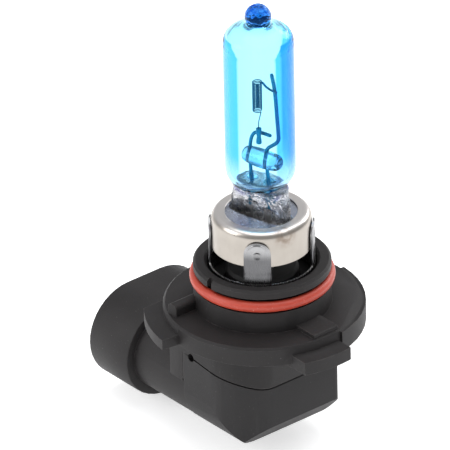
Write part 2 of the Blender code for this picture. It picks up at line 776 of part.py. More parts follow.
def below_seam(name, shift):
    """Everything under the seam and in front of the socket's neck, drawn back by a shift."""
    steps = 14
    front = BOX_FRONT + 2 * OVERLAP
    back = SEAM_X + shift
    xs = [back + (BOX_FRONT - back) * i / steps for i in range(steps + 1)]
    outline = [(x, seam_height(x) - shift) for x in xs]
    outline += [(front, seam_height(BOX_FRONT) - shift), (front, -REACH), (back, -REACH)]
    return plate(name, outline, -REACH / 2, REACH / 2, "Y")


def chamber(name, low, high):
    """The hollow for the terminals, inside the box's walls."""
    return plate(name, box_outline(BOX_WALL), low, high)


def box_skirt():
    return plate("box_skirt", box_outline(), BOX_BOTTOM / 2 - 3 * OVERLAP, -FLANGE_THICKNESS / 2)


def socket_shape(name, half_width, radius, low, high, bevel=0.0):
    return plate(name, stadium(half_width, radius, SOCKET_Z), low, high, "X", bevel)


def latch_nose():
    """The ramp under the shroud that the plug's latch snaps over, in X and Z."""
    top = SOCKET_Z - SHROUD_RADIUS
    end = SOCKET_END + 1.2 * MM
    outline = [
        (end, top + OVERLAP),
        (end, top),
        (end + LATCH_LENGTH, top - LATCH_HEIGHT),
        (end + LATCH_LENGTH, top + OVERLAP),
    ]
    return plate("latch_nose", outline, -LATCH_WIDTH / 2, LATCH_WIDTH / 2, "Y")


def plug_key(number):
    """A rib inside the shroud that stops the plug from going in upside down."""
    length, width, height = KEY_SIZE
    top = SOCKET_Z + SHROUD_RADIUS - SHROUD_WALL
    inner = SOCKET_END + SHROUD_DEPTH + OVERLAP
    middle = KEY_Y[number]
    low = (inner - length - OVERLAP, middle - width / 2, top - height)
    return box(f"plug_key_{number + 1}", low, (inner, middle + width / 2, top + OVERLAP / 2))


def blade_slot(name, side):
    gap = FIT_GAP
    low = (POCKET_FLOOR - OVERLAP, side * BLADE_Y - BLADE_THICKNESS / 2 - gap, SOCKET_Z - BLADE_WIDTH / 2 - gap)
    front = SEAM_X + CARRIER_LENGTH + OVERLAP
    high = (front, side * BLADE_Y + BLADE_THICKNESS / 2 + gap, SOCKET_Z + BLADE_WIDTH / 2 + gap)
    return box(name, low, high)


def collar_notch():
    """The small gap in the collar's rim, on the -Y side."""
    low = (-NOTCH_WIDTH / 2, -NECK_RADIUS - OVERLAP, COLLAR_TOP - COLLAR_RIM - FIT_GAP)
    high = (NOTCH_WIDTH / 2, -NECK_RADIUS + NOTCH_DEPTH, COLLAR_TOP + OVERLAP)
    return box("collar_notch", low, high)


def seam_vent(name):
    """The small round hole where the seam ends beside the socket's neck."""
    hole = cylinder(name, VENT_RADIUS, -BOX_WALL - OVERLAP, BOX_WALL + OVERLAP, steps=16)
    x = SEAM_X + 2.2 * MM
    hole.matrix_world = Matrix.Translation((x, -BOX_HALF_WIDTH, seam_height(x))) @ Matrix.Rotation(math.pi / 2, 4, "X")
    return hole


def base_body():
    """Collar, neck, flange, lugs, box and plug socket: one moulding."""
    base = turned("base_body", base_profile(), closed=True)
    for shape in (side_lug(), front_lug(), wide_sector(), flange_rib(), flange_pad(), box_skirt()):
        join(base, shape)
    neck_end = SHROUD_BACK - OVERLAP
    join(base, socket_shape("socket_neck", NECK_HALF_WIDTH, NECK_ROUND, neck_end, SEAM_X + OVERLAP))
    join(base, socket_shape("shroud", SHROUD_HALF_WIDTH, SHROUD_RADIUS, SOCKET_END, SHROUD_BACK, 0.3 * MM))
    join(base, latch_nose())
    mouth = SOCKET_END + SHROUD_DEPTH
    inner_half = SHROUD_HALF_WIDTH - SHROUD_WALL
    inner_radius = SHROUD_RADIUS - SHROUD_WALL
    cut(base, socket_shape("socket_mouth", inner_half, inner_radius, SOCKET_END - OVERLAP, mouth))
    cut(base, socket_shape("socket_pocket", POCKET_HALF_WIDTH, POCKET_ROUND, mouth - OVERLAP, POCKET_FLOOR))
    for number in range(len(KEY_Y)):
        join(base, plug_key(number))
    cut(base, below_seam("base_seam_cut", -HALF_GAP))
    hollow = chamber("base_chamber", -REACH, CHAMBER_CEILING)
    trim(hollow, box("chamber_front", (SEAM_X - HALF_GAP, -REACH, -REACH), (REACH, REACH, REACH)))
    cut(base, hollow)
    ledge_top = CHAMBER_CEILING + GROMMET_LEDGE
    cut(base, cylinder("grommet_bore", GROMMET_RADIUS + FIT_GAP, ledge_top, SEAT_FLOOR + OVERLAP, steps=ROUND_STEPS))
    cut(base, cylinder("wire_way", GROMMET_RADIUS - GROMMET_LEDGE, -REACH / 2, SEAT_FLOOR, steps=ROUND_STEPS))
    cut(base, blade_slot("slot_left", -1))
    cut(base, blade_slot("slot_right", 1))
    cut(base, collar_notch())
    cut(base, seam_vent("base_vent"))
    paint(base, (0.055, 0.052, 0.056), 0.55)
    return base


def cover_section():
    """The cover's section across X: one lower edge has a large round, the other a small one."""
    low = (-BOX_HALF_WIDTH, BOX_BOTTOM)
    high = (BOX_HALF_WIDTH, 0)
    return rounded_box(low, high, (BOX_LOWER_ROUND, BOX_SMALL_ROUND, EDGE_ROUND, EDGE_ROUND))


def chamfer_block(name, inset=0.0):
    """What the sloping lower front edge keeps, in X and Z."""
    slope_x = BOX_FRONT - inset - BOX_CHAMFER_X
    bottom = BOX_BOTTOM + inset
    outline = [
        (-REACH, REACH),
        (-REACH, bottom - REACH),
        (slope_x - REACH * BOX_CHAMFER_X / BOX_CHAMFER_Z, bottom - REACH),
        (slope_x, bottom),
        (BOX_FRONT - inset, bottom + BOX_CHAMFER_Z),
        (BOX_FRONT - inset, REACH),
    ]
    return plate(name, outline, -REACH, REACH, "Y")


def rear_cover():
    """The cap over the terminals: a scoop, open on top and towards the socket's neck."""
    cover = plate("rear_cover", box_outline(), BOX_BOTTOM, 0)
    trim(cover, plate("cover_section", cover_section(), SKIRT_BACK - OVERLAP, BOX_FRONT + OVERLAP, "X"))
    trim(cover, chamfer_block("cover_chamfer"))
    trim(cover, below_seam("cover_seam_trim", HALF_GAP))
    hollow = chamber("cover_chamber", BOX_BOTTOM + BOX_WALL, REACH)
    inner = rounded_box(
        (-BOX_HALF_WIDTH + BOX_WALL, BOX_BOTTOM + BOX_WALL),
        (BOX_HALF_WIDTH - BOX_WALL, REACH / 2),
        (BOX_LOWER_ROUND - BOX_WALL, BOX_SMALL_ROUND, EDGE_ROUND, EDGE_ROUND),
    )
    trim(hollow, plate("hollow_section", inner, -REACH, REACH, "X"))
    trim(hollow, chamfer_block("hollow_chamfer", BOX_WALL))
    cut(cover, hollow)
    cut(cover, seam_vent("cover_vent"))
    finish_smooth(cover)
    paint(cover, (0.06, 0.058, 0.062), 0.5)
    return cover


def o_ring():
    middle = RING_OUTER_RADIUS - RING_SECTION / 2
    radius = RING_SECTION / 2
    profile = list(reversed(arc((middle, RING_HEIGHT), radius, -math.pi, math.pi, 12)))[:-1]
    ring = turned("o_ring", profile, closed=True)
    paint(ring, (0.55, 0.06, 0.03), 0.45)
    return ring


def outer_lead_path(side):
    """From the foil down through the seal to the crimp."""
    top = burner_point(foil_side(side), 0, FOIL_BOTTOM + 1.5 * MM)
    seal = Vector((top.x, top.y, CHAMBER_CEILING - 0.5 * MM))
    above_crimp = Vector((POST_X, side * BLADE_Y, POST_TOP + FIT_GAP + CRIMP_LENGTH + OUTER_LEAD_BEND))
    end = Vector((POST_X, side * BLADE_Y, POST_TOP + 2 * FIT_GAP))
    return smooth_path([top, seal, above_crimp, end], OUTER_LEAD_BEND)


def outer_lead(name, side):
    lead = wire(name, outer_lead_path(side), OUTER_LEAD_RADIUS)
    paint(lead, (0.6, 0.6, 0.6), 0.35, 1.0)
    return lead


def lead_grommet():
    """The seal plug under the burner, with a hole for each lead."""
    low = CHAMBER_CEILING + GROMMET_LEDGE + FIT_GAP
    edge = 0.5 * MM
    profile = [
        (0, GROMMET_TOP),
        (GROMMET_RADIUS - edge, GROMMET_TOP),
        (GROMMET_RADIUS, GROMMET_TOP - edge),
        (GROMMET_RADIUS, low),
        (0, low),
    ]
    grommet = turned("lead_grommet", profile, 48)
    for side, word in ((-1, "left"), (1, "right")):
        at = burner_point(foil_side(side), 0, 0)
        hole = cylinder(f"grommet_hole_{word}", OUTER_LEAD_RADIUS + WIRE_GAP, low - OVERLAP, REACH, (at.x, at.y), 12)
        cut(grommet, hole)
    paint(grommet, (0.03, 0.03, 0.032), 0.7)
    return grommet


def terminal(name, side):
    """A flat stamping: a blade in the socket and a post up to the lead, in X and Z."""
    half = BLADE_WIDTH / 2
    point = 0.9 * MM
    outline = [
        (POST_X + half, POST_TOP),
        (POST_X - half, POST_TOP),
        (POST_X - half, SOCKET_Z + half),
        (BLADE_TIP + point, SOCKET_Z + half),
        (BLADE_TIP, SOCKET_Z + half - point),
        (BLADE_TIP, SOCKET_Z - half + point),
        (BLADE_TIP + point, SOCKET_Z - half),
        (POST_X + half, SOCKET_Z - half),
    ]
    middle = side * BLADE_Y
    blade = plate(name, outline, middle - BLADE_THICKNESS / 2, middle + BLADE_THICKNESS / 2, "Y")
    paint(blade, (0.75, 0.72, 0.66), 0.3, 1.0)
    return blade


def crimp(name, side):
    """The barrel that joins a lead to its terminal."""
    low = POST_TOP + FIT_GAP
    high = low + CRIMP_LENGTH
    bore = OUTER_LEAD_RADIUS + WIRE_GAP
    profile = [(bore, high), (CRIMP_RADIUS, high), (CRIMP_RADIUS, low), (bore, low)]
    barrel = turned(name, profile, SMALL_STEPS, closed=True)
    barrel.location = (POST_X, side * BLADE_Y, 0)
    paint(barrel, (0.7, 0.66, 0.58), 0.35, 1.0)
    return barrel


def terminal_carrier():
    """The insulating block behind the socket's neck, with a slot for each blade."""
    side = BLADE_Y + CARRIER_SIDE
    edge = BLADE_WIDTH / 2 + CARRIER_EDGE
    back = SEAM_X + HALF_GAP
    low = (back, -side, SOCKET_Z - edge)
    carrier = box("terminal_carrier", low, (back + CARRIER_LENGTH, side, SOCKET_Z + edge))
    cut(carrier, blade_slot("carrier_slot_left", -1))
    cut(carrier, blade_slot("carrier_slot_right", 1))
    paint(carrier, (0.5, 0.48, 0.44), 0.6)
    return carrier


def build():
    glass_envelope()
    pinch_seal()
    glass_bridge()
    lead_wire("long_lead_wire", long_lead_path())
    lead_wire("short_lead_wire", short_lead_path())
    filament()
    filament_sleeve()
    burner_cup()
    cup_insert()
    retaining_ring()
    base_body()
    rear_cover()
    o_ring()
    lead_grommet()
    terminal_carrier()
    for side, word in ((-1, "left"), (1, "right")):
        foil(f"foil_{word}", side)
        outer_lead(f"outer_lead_{word}", side)
        terminal(f"terminal_{word}", side)
        crimp(f"crimp_{word}", side)


build()
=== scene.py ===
# %% [markdown]
# Headlight bulb: looks
#
# This notebook dresses the solid model of a right-angle halogen headlight bulb. The solid model gives the
# sizes; here each visible piece gets its fine shape and its finish. Lengths are in metres, Z is the bulb's
# axis, and the plug socket points along -X.

# %% Load the frame
import math

import bmesh
import bpy
import numpy as np
from mathutils import Matrix, Vector


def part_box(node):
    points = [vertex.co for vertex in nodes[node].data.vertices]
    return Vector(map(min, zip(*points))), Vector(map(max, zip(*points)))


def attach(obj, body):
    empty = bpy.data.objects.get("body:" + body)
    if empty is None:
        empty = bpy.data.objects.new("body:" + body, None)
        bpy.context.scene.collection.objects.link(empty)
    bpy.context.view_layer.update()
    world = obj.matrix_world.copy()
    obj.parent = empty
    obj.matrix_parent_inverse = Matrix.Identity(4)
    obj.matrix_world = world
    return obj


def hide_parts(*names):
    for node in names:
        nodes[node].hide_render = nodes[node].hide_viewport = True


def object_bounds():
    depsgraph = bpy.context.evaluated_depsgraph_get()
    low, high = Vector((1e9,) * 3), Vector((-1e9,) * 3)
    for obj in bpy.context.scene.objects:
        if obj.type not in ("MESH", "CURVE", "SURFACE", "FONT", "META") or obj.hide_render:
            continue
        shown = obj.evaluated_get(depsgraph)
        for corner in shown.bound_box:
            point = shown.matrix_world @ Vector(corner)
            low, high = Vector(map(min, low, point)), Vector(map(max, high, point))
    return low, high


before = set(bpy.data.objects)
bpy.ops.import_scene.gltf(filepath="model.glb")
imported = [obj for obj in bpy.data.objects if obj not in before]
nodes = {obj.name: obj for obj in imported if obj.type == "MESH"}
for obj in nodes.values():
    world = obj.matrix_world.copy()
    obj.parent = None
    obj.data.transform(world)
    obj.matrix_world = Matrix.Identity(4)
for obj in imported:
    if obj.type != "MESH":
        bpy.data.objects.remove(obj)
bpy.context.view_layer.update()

MM = 0.001
BODY = "root"
print("solid pieces:", sorted(nodes))

# %% [markdown]
# ## A surface from a grid of points
#
# Most pieces are turned, drawn or bent, so each is one closed surface over a grid: the columns run round the
# piece and the rows run along it. Blender could spin a curve instead, but a grid made with numpy lets a
# formula move any point, which is what dimples, crumples and bends need.

# %% Grid to mesh


def grid_faces(rows, columns, loop):
    """Quads between neighbouring rows and columns; the columns close on themselves, and the rows may."""
    i = np.arange(rows if loop else rows - 1)[:, None]
    j = np.arange(columns)[None, :]
    below, above = i * columns, ((i + 1) % rows) * columns
    right = (j + 1) % columns
    return np.stack([below + j, below + right, above + right, above + j], axis=-1).reshape(-1, 4)


def grid_mesh(name, shells):
    """A mesh of closed shells. Each is (points[rows, columns, 3], loop, flip). A shell that isn't a loop is
    closed by a fan at each end, to the middle of the end row."""
    points, quads, fans, start = [], [], [], 0
    for grid, loop, flip in shells:
        rows, columns = grid.shape[:2]
        faces = grid_faces(rows, columns, loop) + start
        flat = grid.reshape(-1, 3)
        if not loop:
            ends = np.stack([grid[0].mean(axis=0), grid[-1].mean(axis=0)])
            flat = np.concatenate([flat, ends])
            j = np.arange(columns)
            k = (j + 1) % columns
            top = (rows - 1) * columns
            low_fan = np.stack([np.full(columns, rows * columns), k, j], axis=-1)
            high_fan = np.stack([np.full(columns, rows * columns + 1), top + j, top + k], axis=-1)
            fan = np.concatenate([low_fan, high_fan]) + start
            fans.append(fan[:, ::-1] if flip else fan)
        quads.append(faces[:, ::-1] if flip else faces)
        points.append(flat)
        start += len(flat)
    faces = [face.tolist() for block in quads + fans for face in block]
    mesh = bpy.data.meshes.new(name)
    mesh.from_pydata(np.concatenate(points).tolist(), [], faces)
    mesh.update()
    piece = bpy.data.objects.new(name, mesh)
    bpy.context.scene.collection.objects.link(piece)
    mesh.shade_smooth()
    return piece


# %% Curves, turned surfaces and tubes


def smooth_through(points, per_span=6):
    """Points on a Catmull-Rom curve: each span blends its ends and their neighbours with cubic weights."""
    p = np.asarray(points, float)
    p = np.concatenate([2 * p[:1] - p[1:2], p, 2 * p[-1:] - p[-2:-1]])
    t = np.linspace(0, 1, per_span, endpoint=False)[:, None, None]
    a, b, c, d = p[None, :-3], p[None, 1:-2], p[None, 2:-1], p[None, 3:]
    curve = 0.5 * (2 * b + (c - a) * t + (2 * a - 5 * b + 4 * c - d) * t**2 + (3 * b - a - 3 * c + d) * t**3)
    curve = curve.transpose(1, 0, 2).reshape(-1, p.shape[1])
    return np.concatenate([curve, p[-2:-1]])


def turned(profile, columns=96):
    """A turned surface: each (radius, height) of the profile, going up, is swept round Z. X is the radius
    times the cosine of the angle, and Y is the radius times its sine."""
    profile = np.asarray(profile, float)
    angle = np.linspace(0, 2 * np.pi, columns, endpoint=False)
    r, z = profile[:, :1], profile[:, 1:]
    return np.stack([r * np.cos(angle), r * np.sin(angle), z + 0 * angle], axis=-1)


def tube(path, radius, side, columns=12):
    """A round tube: at each point of the path, a circle spanned by two directions square to the path, the
    first being the path's direction crossed with a side vector."""
    path = np.asarray(path, float)
    along = np.gradient(path, axis=0)
    along /= np.linalg.norm(along, axis=1, keepdims=True)
    across = np.cross(along, side)
    across /= np.linalg.norm(across, axis=1, keepdims=True)
    third = np.cross(along, across)
    angle = np.linspace(0, 2 * np.pi, columns, endpoint=False)[None, :, None]
    radius = np.broadcast_to(np.asarray(radius, float).reshape(-1, 1, 1), (len(path), 1, 1))
    circle = np.cos(angle) * across[:, None, :] + np.sin(angle) * third[:, None, :]
    return path[:, None, :] + radius * circle


# %% Measuring a piece


def tell(piece):
    """Prints a piece's size and number of faces."""
    corners = np.array([corner[:] for corner in piece.bound_box])
    size = (corners.max(axis=0) - corners.min(axis=0)) / MM
    print(f"{piece.name}: {size.round(1).tolist()} mm, {len(piece.data.polygons)} faces")


# %% [markdown]
# ## Writing finishes as sums
#
# A finish is a small formula: a mask here, a noise there. A thin wrapper round a shader socket lets Python's
# own operators add the Math nodes, so that a finish reads like the formula it is.

# %% Sockets as expressions


class Term:
    """A shader socket that can be used in an expression."""

    def __init__(self, finish, socket):
        self.finish = finish
        self.socket = socket

    def math(self, operation, *values):
        return self.finish.node("Math", {"operation": operation}, dict(enumerate(values)))

    def __add__(self, other):
        return self.math("ADD", self, other)

    def __sub__(self, other):
        return self.math("SUBTRACT", self, other)

    def __rsub__(self, other):
        return self.math("SUBTRACT", other, self)

    def __mul__(self, other):
        return self.math("MULTIPLY", self, other)

    __radd__ = __add__
    __rmul__ = __mul__

    def step(self, low, high):
        """0 below low, 1 above high, with a smooth ramp between."""
        return self.finish.node(
            "MapRange",
            {"interpolation_type": "SMOOTHSTEP"},
            {"Value": self, "From Min": low, "From Max": high},
        )


# %% Materials made of expressions


class Finish:
    """A material whose sockets are set by expressions."""

    def __init__(self, name, **values):
        self.material = bpy.data.materials.new(name)
        self.material.use_nodes = True
        self.tree = self.material.node_tree
        self.shader = self.tree.nodes["Principled BSDF"]
        self.place = Term(self, self.tree.nodes.new("ShaderNodeTexCoord").outputs["Object"])
        for name, value in values.items():
            self.set(name.replace("_", " "), value)

    def put(self, socket, value):
        """Gives a socket a plain value or a link."""
        if isinstance(value, Term):
            self.tree.links.new(value.socket, socket)
        elif isinstance(value, tuple) and len(value) == 3 and socket.type == "RGBA":
            socket.default_value = (*value, 1)
        else:
            socket.default_value = value

    def set(self, name, value):
        self.put(self.shader.inputs[name], value)

    def node(self, kind, settings=(), inputs=(), output=0):
        """Any node: its settings first, then its sockets."""
        node = self.tree.nodes.new("ShaderNode" + kind)
        for name, value in dict(settings).items():
            setattr(node, name, value)
        for name, value in dict(inputs).items():
            self.put(node.inputs[name], value)
        return Term(self, node.outputs[output])

    def noise(self, size, detail=3.0, stretch=(1, 1, 1)):
        """Noise whose patches are about one size across, longer along an axis with a smaller stretch."""
        place = self.node("VectorMath", {"operation": "MULTIPLY"}, {0: self.place, 1: stretch})
        return self.node("TexNoise", (), {"Vector": place, "Scale": 1 / size, "Detail": detail})

    def mix(self, share, first, second):
        """A colour between two colours."""
        return self.node("Mix", {"data_type": "RGBA"}, {0: share, 6: first, 7: second}, 2)

    def axis(self, number):
        """The height along X, Y or Z, in metres."""
        return self.node("SeparateXYZ", (), {0: self.place}, number)

    def along(self, direction):
        """How far a point lies along a direction, in metres: the dot product of the two."""
        return self.node("VectorMath", {"operation": "DOT_PRODUCT"}, {0: self.place, 1: direction}, 1)

    def from_axis(self):
        """The distance from the Z axis."""
        flat = self.node("VectorMath", {"operation": "MULTIPLY"}, {0: self.place, 1: (1, 1, 0)})
        return self.node("VectorMath", {"operation": "LENGTH"}, {0: flat}, 1)

    def edges(self, radius):
        """0 on flats, more on sharp edges: 1 less the dot product of the surface's own normal and a normal
        averaged over a radius."""
        soft = self.node("Bevel", {"samples": 6}, {"Radius": radius})
        own = self.node("NewGeometry", (), (), 1)
        return 1 - self.node("VectorMath", {"operation": "DOT_PRODUCT"}, {0: soft, 1: own}, 1)

    def bump(self, height, distance, strength=1.0):
        """Relief: height runs from 0 to 1 and stands for a distance in metres."""
        relief = self.node("Bump", (), {"Height": height, "Distance": distance, "Strength": strength})
        self.set("Normal", relief)

    def near(self, centre, radius):
        """1 at a place, falling smoothly to 0 at a radius."""
        distance = self.node("VectorMath", {"operation": "DISTANCE"}, {0: self.place, 1: centre}, 1)
        return 1 - distance.step(0.2 * radius, radius)


def dress(piece, finish):
    """Gives a new piece its finish and its body."""
    piece.data.materials.clear()
    piece.data.materials.append(finish.material)
    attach(piece, BODY)
    tell(piece)


# %% [markdown]
# ## Where the burner points
#
# The flat of the pinch isn't square to the base: it is turned a little about the axis. Wires, bridge and
# pinch are made in the burner's own frame and then turned by the same angle. The angle is read back from the
# solid model: it is the direction in which the two foils stand apart.

# %% Burner frame
foil_middles = [sum(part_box(name), Vector()) / 2 for name in ("foil_left", "foil_right")]
apart = foil_middles[1] - foil_middles[0]
BURNER_ANGLE = math.atan2(apart.y, apart.x)
LEAD_X = apart.length / 2
print("burner turned by", round(math.degrees(BURNER_ANGLE), 1), "degrees")


def to_bulb(points):
    """Turns points about Z from the burner's frame to the bulb's. The new X is x times the angle's cosine
    less y times its sine, and the new Y is x times the sine plus y times the cosine."""
    points = np.asarray(points, float)
    c, s = math.cos(BURNER_ANGLE), math.sin(BURNER_ANGLE)
    x, y, z = points[..., 0], points[..., 1], points[..., 2]
    return np.stack([c * x - s * y, s * x + c * y, z], axis=-1)


SIDEWAYS = to_bulb([0, 1, 0])

# %% [markdown]
# ## Glass tube
#
# The real envelope is a quartz tube drawn to a tip where it was evacuated and sealed, with a thin blue
# coating. The wall has two skins, and both matter: light bends at each. So the piece is two turned shells,
# the inner one facing the hollow. It is made blue by an absorbing volume, a tint that deepens where the
# coating is seen at a slant, which gives the two bands along the sides, and a dye in the tip. The bands are
# painted deeper towards one side, which is painted shade, and the tip has a painted navy glow.

# %% Tube shape
tube_low, tube_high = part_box("glass_envelope")
TUBE_R = (tube_high.x - tube_low.x) / 2
TIP_TOP = tube_high.z
FOOT = tube_low.z
WALL = 0.85 * MM


def tube_outside():
    """(r, z) up the outside: rounded foot, straight wall, steep shoulder, short neck and ball tip."""
    foot = [(0.3, 0), (2.6, 0.05), (4.1, 0.4), (5.2, 1.15), (5.85, 2.3), (6.08, 3.6), (6.1, 5)]
    top = [(6.1, -8.2), (6.1, -7.2), (5.98, -6.3), (5.6, -5.5), (4.9, -4.85), (4.0, -4.4), (3.1, -4.0)]
    tip = [(2.35, -3.6), (2.12, -3.2), (2.2, -2.75), (2.3, -2.2), (2.15, -1.4), (1.7, -0.7), (1.05, -0.2)]
    tip.append((0.4, -0.02))
    low = [(r * MM, FOOT + z * MM) for r, z in foot]
    wall = [(TUBE_R, z) for z in np.arange(FOOT + 6.5 * MM, TIP_TOP - 9.2 * MM, 1.5 * MM)]
    high = [(r * MM, TIP_TOP + z * MM) for r, z in top + tip]
    return smooth_through(low + wall + high)


def set_inwards(line, thickness):
    """A line moved square to itself, towards the inside of a piece whose outside it climbs."""
    along = np.gradient(line, axis=0)
    along /= np.linalg.norm(along, axis=1, keepdims=True)
    return line + thickness * np.stack([-along[:, 1], along[:, 0]], axis=-1)


def tube_inside():
    """(r, z) up the inside: the outside moved in by the wall, then a small pit where the tip was sealed."""
    outside = tube_outside()
    inside = set_inwards(outside[outside[:, 1] < TIP_TOP - 4.0 * MM], WALL)
    pit = [(1.7, -4.75), (1.0, -4.5), (0.6, -4.0), (0.15, -3.75)]
    pit = smooth_through([(r * MM, TIP_TOP + z * MM) for r, z in pit], 3)
    return np.concatenate([inside[inside[:, 0] > 0.2 * MM], pit])


def melted_floor(grid):
    """The inner skin with a mound where each wire comes through. On the floor, the height gains the mound's
    height times e to the power of minus the square of distance over width."""
    x, y, z = grid[..., 0], grid[..., 1], grid[..., 2]
    floor = np.clip((FOOT + 2.2 * MM - z) / (1.2 * MM), 0, 1)
    rise = 0 * z
    mounds = (((-LEAD_X, 0, 0), 1.0, 1.0), ((LEAD_X, 0, 0), 1.1, 1.1), ((0.4 * MM, 1.4 * MM, 0), 0.6, 0.8))
    for place, height, width in mounds:
        px, py, _ = to_bulb(place)
        rise = rise + height * MM * np.exp(-(((x - px) ** 2 + (y - py) ** 2) / (width * MM) ** 2))
    return np.stack([x, y, z + rise * floor], axis=-1)


outer_skin = turned(tube_outside(), 128)
inner_skin = melted_floor(turned(tube_inside(), 128))
envelope = grid_mesh("envelope_glass", [(outer_skin, False, False), (inner_skin, False, True)])

# %% Blue coated glass
SHADED_SIDE = (0.635, 0.772, 0.0)  # the side on which the blue bands are painted deeper: painted shade
COATING_SHEEN = (0.15, 0.6, 1.0)
blue_glass = Finish("blue_glass", Transmission_Weight=1.0, IOR=1.4, Roughness=0.0)
blue_glass.set("Specular Tint", COATING_SHEEN)
height = blue_glass.axis(2)
tip_dye = height.step(TIP_TOP - 3.9 * MM, TIP_TOP - 2.4 * MM)
clear_foot = 1 - height.step(FOOT + 1.0 * MM, FOOT + 8.0 * MM)
cloud = blue_glass.noise(5 * MM, 2.0, (1, 1, 0.3))
tube_tint = blue_glass.mix(cloud, (0.66, 0.935, 0.99), (0.75, 0.96, 1.0))
toward_shaded_side = blue_glass.along(SHADED_SIDE) * (1 / TUBE_R)
# Painted shade: the slant tint is raised towards one side, so the bands there are deeper.
slant_and_side_shade = blue_glass.node("LayerWeight", (), {"Blend": 0.5}, 1) + toward_shaded_side.step(0, 1.2) * 0.24
on_wall = blue_glass.from_axis().step(TUBE_R - 0.5 * MM, TUBE_R - 0.35 * MM)
tube_tint = blue_glass.mix(slant_and_side_shade.step(0.27, 0.33) * on_wall, tube_tint, (0.02, 0.29, 0.84))
tube_tint = blue_glass.mix(slant_and_side_shade.step(0.58, 0.66) * on_wall, tube_tint, (0.01, 0.23, 0.7))
tube_tint = blue_glass.mix(clear_foot * 0.6, tube_tint, (0.93, 0.96, 1.0))
tip_patches = blue_glass.noise(1.6 * MM, 1.0).step(0.42, 0.6)
tip_tint = blue_glass.mix(tip_patches, (0.004, 0.065, 0.32), (0.055, 0.10, 0.42))
blue_glass.set("Base Color", blue_glass.mix(tip_dye, tube_tint, tip_tint))
# Painted glow: the tip emits a little navy light, so it stays navy where the glass bends its light away.
blue_glass.set("Emission Color", blue_glass.mix(tip_dye, (0.0, 0.0, 0.0), (0.002, 0.018, 0.10)))
blue_glass.set("Emission Strength", 1.0)
blue_glass.bump(blue_glass.noise(0.9 * MM, 1.0) * tip_dye, 0.25 * MM)
absorb = blue_glass.tree.nodes.new("ShaderNodeVolumeAbsorption")
absorb.inputs["Color"].default_value = (0.0, 0.72, 0.97, 1)
absorb.inputs["Density"].default_value = 240
blue_glass.tree.links.new(absorb.outputs[0], blue_glass.tree.nodes["Material Output"].inputs["Volume"])
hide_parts("glass_envelope")
dress(envelope, blue_glass)

# %% [markdown]
# ## Pinch seal
#
# Below the tube the hot quartz was squeezed flat round the foils. Squeezing leaves it crumpled: lumps, folds
# and creases that break up the light. The shape is an oval section that changes from the tube's foot to a
# flat blade; folds are sums of bent waves, strong where the glass was softest.

# %% Crumpled blade
SEAL_BOTTOM, SEAL_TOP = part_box("pinch_seal")[0].z, FOOT - 0.12 * MM


def creases(u, z, seed):
    """Folds of -1 to 1: waves of several lengths in the angle and the height, each bent sharp by taking 1
    less twice its size."""
    rng = np.random.default_rng(seed)
    total = 0 * u * z
    for scale, weight in ((1, 0.42), (2.3, 0.3), (4.1, 0.2), (7.3, 0.12)):
        turns = rng.integers(2, 5, 3) * round(scale)
        climbs = rng.uniform(-1.6, 1.6, 3) * scale / MM
        starts = rng.uniform(0, 2 * np.pi, 3)
        waves = sum(np.abs(np.sin(turns[k] * u + climbs[k] * z + starts[k])) for k in range(3)) / 3
        total = total + weight * (1 - 2 * waves)
    return total


def seal_grid(rows=170, columns=220):
    """An oval for each height: X and Y are the half sizes times the angle's cosine and sine, each raised to
    a power with its sign kept. It is squarer in the blade and wider near the tube, and creases move it."""
    z = np.linspace(SEAL_BOTTOM, SEAL_TOP, rows)[:, None]
    u = np.linspace(0, 2 * np.pi, columns, endpoint=False)[None, :]
    rise = np.clip((z - SEAL_BOTTOM) / (SEAL_TOP - SEAL_BOTTOM), 0, 1)
    flare = np.clip((rise - 0.72) / 0.28, 0, 1) ** 1.5
    half_length = (5.85 - 0.5 * flare - 0.3 * np.sin(9 * rise) ** 2 * (rise > 0.6)) * MM
    web = 1 - 0.33 * np.exp(-((np.cos(u) / 0.62) ** 4)) * (1 - flare)
    half_width = (1.62 + 2.3 * flare) * MM * web
    power = 0.55 + 0.4 * flare
    c, s = np.cos(u), np.sin(u)
    soft = np.clip((rise - 0.45) / 0.3, 0.12, 1)
    fold = creases(u, z, 7) * soft * 0.55 * MM
    x = (half_length + 0.5 * fold) * np.sign(c) * np.abs(c) ** power
    y = (half_width + fold) * np.sign(s) * np.abs(s) ** power
    close = np.minimum(1, np.minimum(rise / 0.01, (1 - rise) / 0.012)) ** 0.5
    drift = 0.25 * MM * creases(0 * u, z, 11) * soft
    return to_bulb(np.stack([x * (0.9 + 0.1 * close), (y + drift) * (0.6 + 0.4 * close), z + 0 * u], axis=-1))


seal = grid_mesh("seal_glass", [(seal_grid(), False, False)])

# %% Crumpled clear glass
seal_glass = Finish("clear_seal_glass", Transmission_Weight=1.0, IOR=1.46, Roughness=0.02)
seal_height = seal_glass.axis(2)
near_tube = seal_height.step(SEAL_TOP - 4 * MM, SEAL_TOP - 1 * MM)
stain = seal_glass.noise(2.2 * MM, 2.0).step(0.52, 0.62) * near_tube
# Painted reflection: dark patches stand in for the dark surroundings mirrored in the crumpled glass.
dark_reflection_patches = seal_glass.noise(1.3 * MM, 4.0).step(0.45, 0.7)
seal_tint = seal_glass.mix(dark_reflection_patches, (0.95, 0.96, 0.98), (0.12, 0.12, 0.15))
seal_glass.set("Base Color", seal_glass.mix(stain * 0.85, seal_tint, (0.10, 0.11, 0.35)))
seal_glass.bump(seal_glass.noise(0.8 * MM, 4.0, (1, 1, 0.6)), 0.7 * MM)
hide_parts("pinch_seal")
dress(seal, seal_glass)

# %% [markdown]
# ## Bridge
#
# A small bar of glass is melted round both leads to hold them apart. It is a rod with melted, round ends, and
# slightly thicker where the glass ran to the wires.

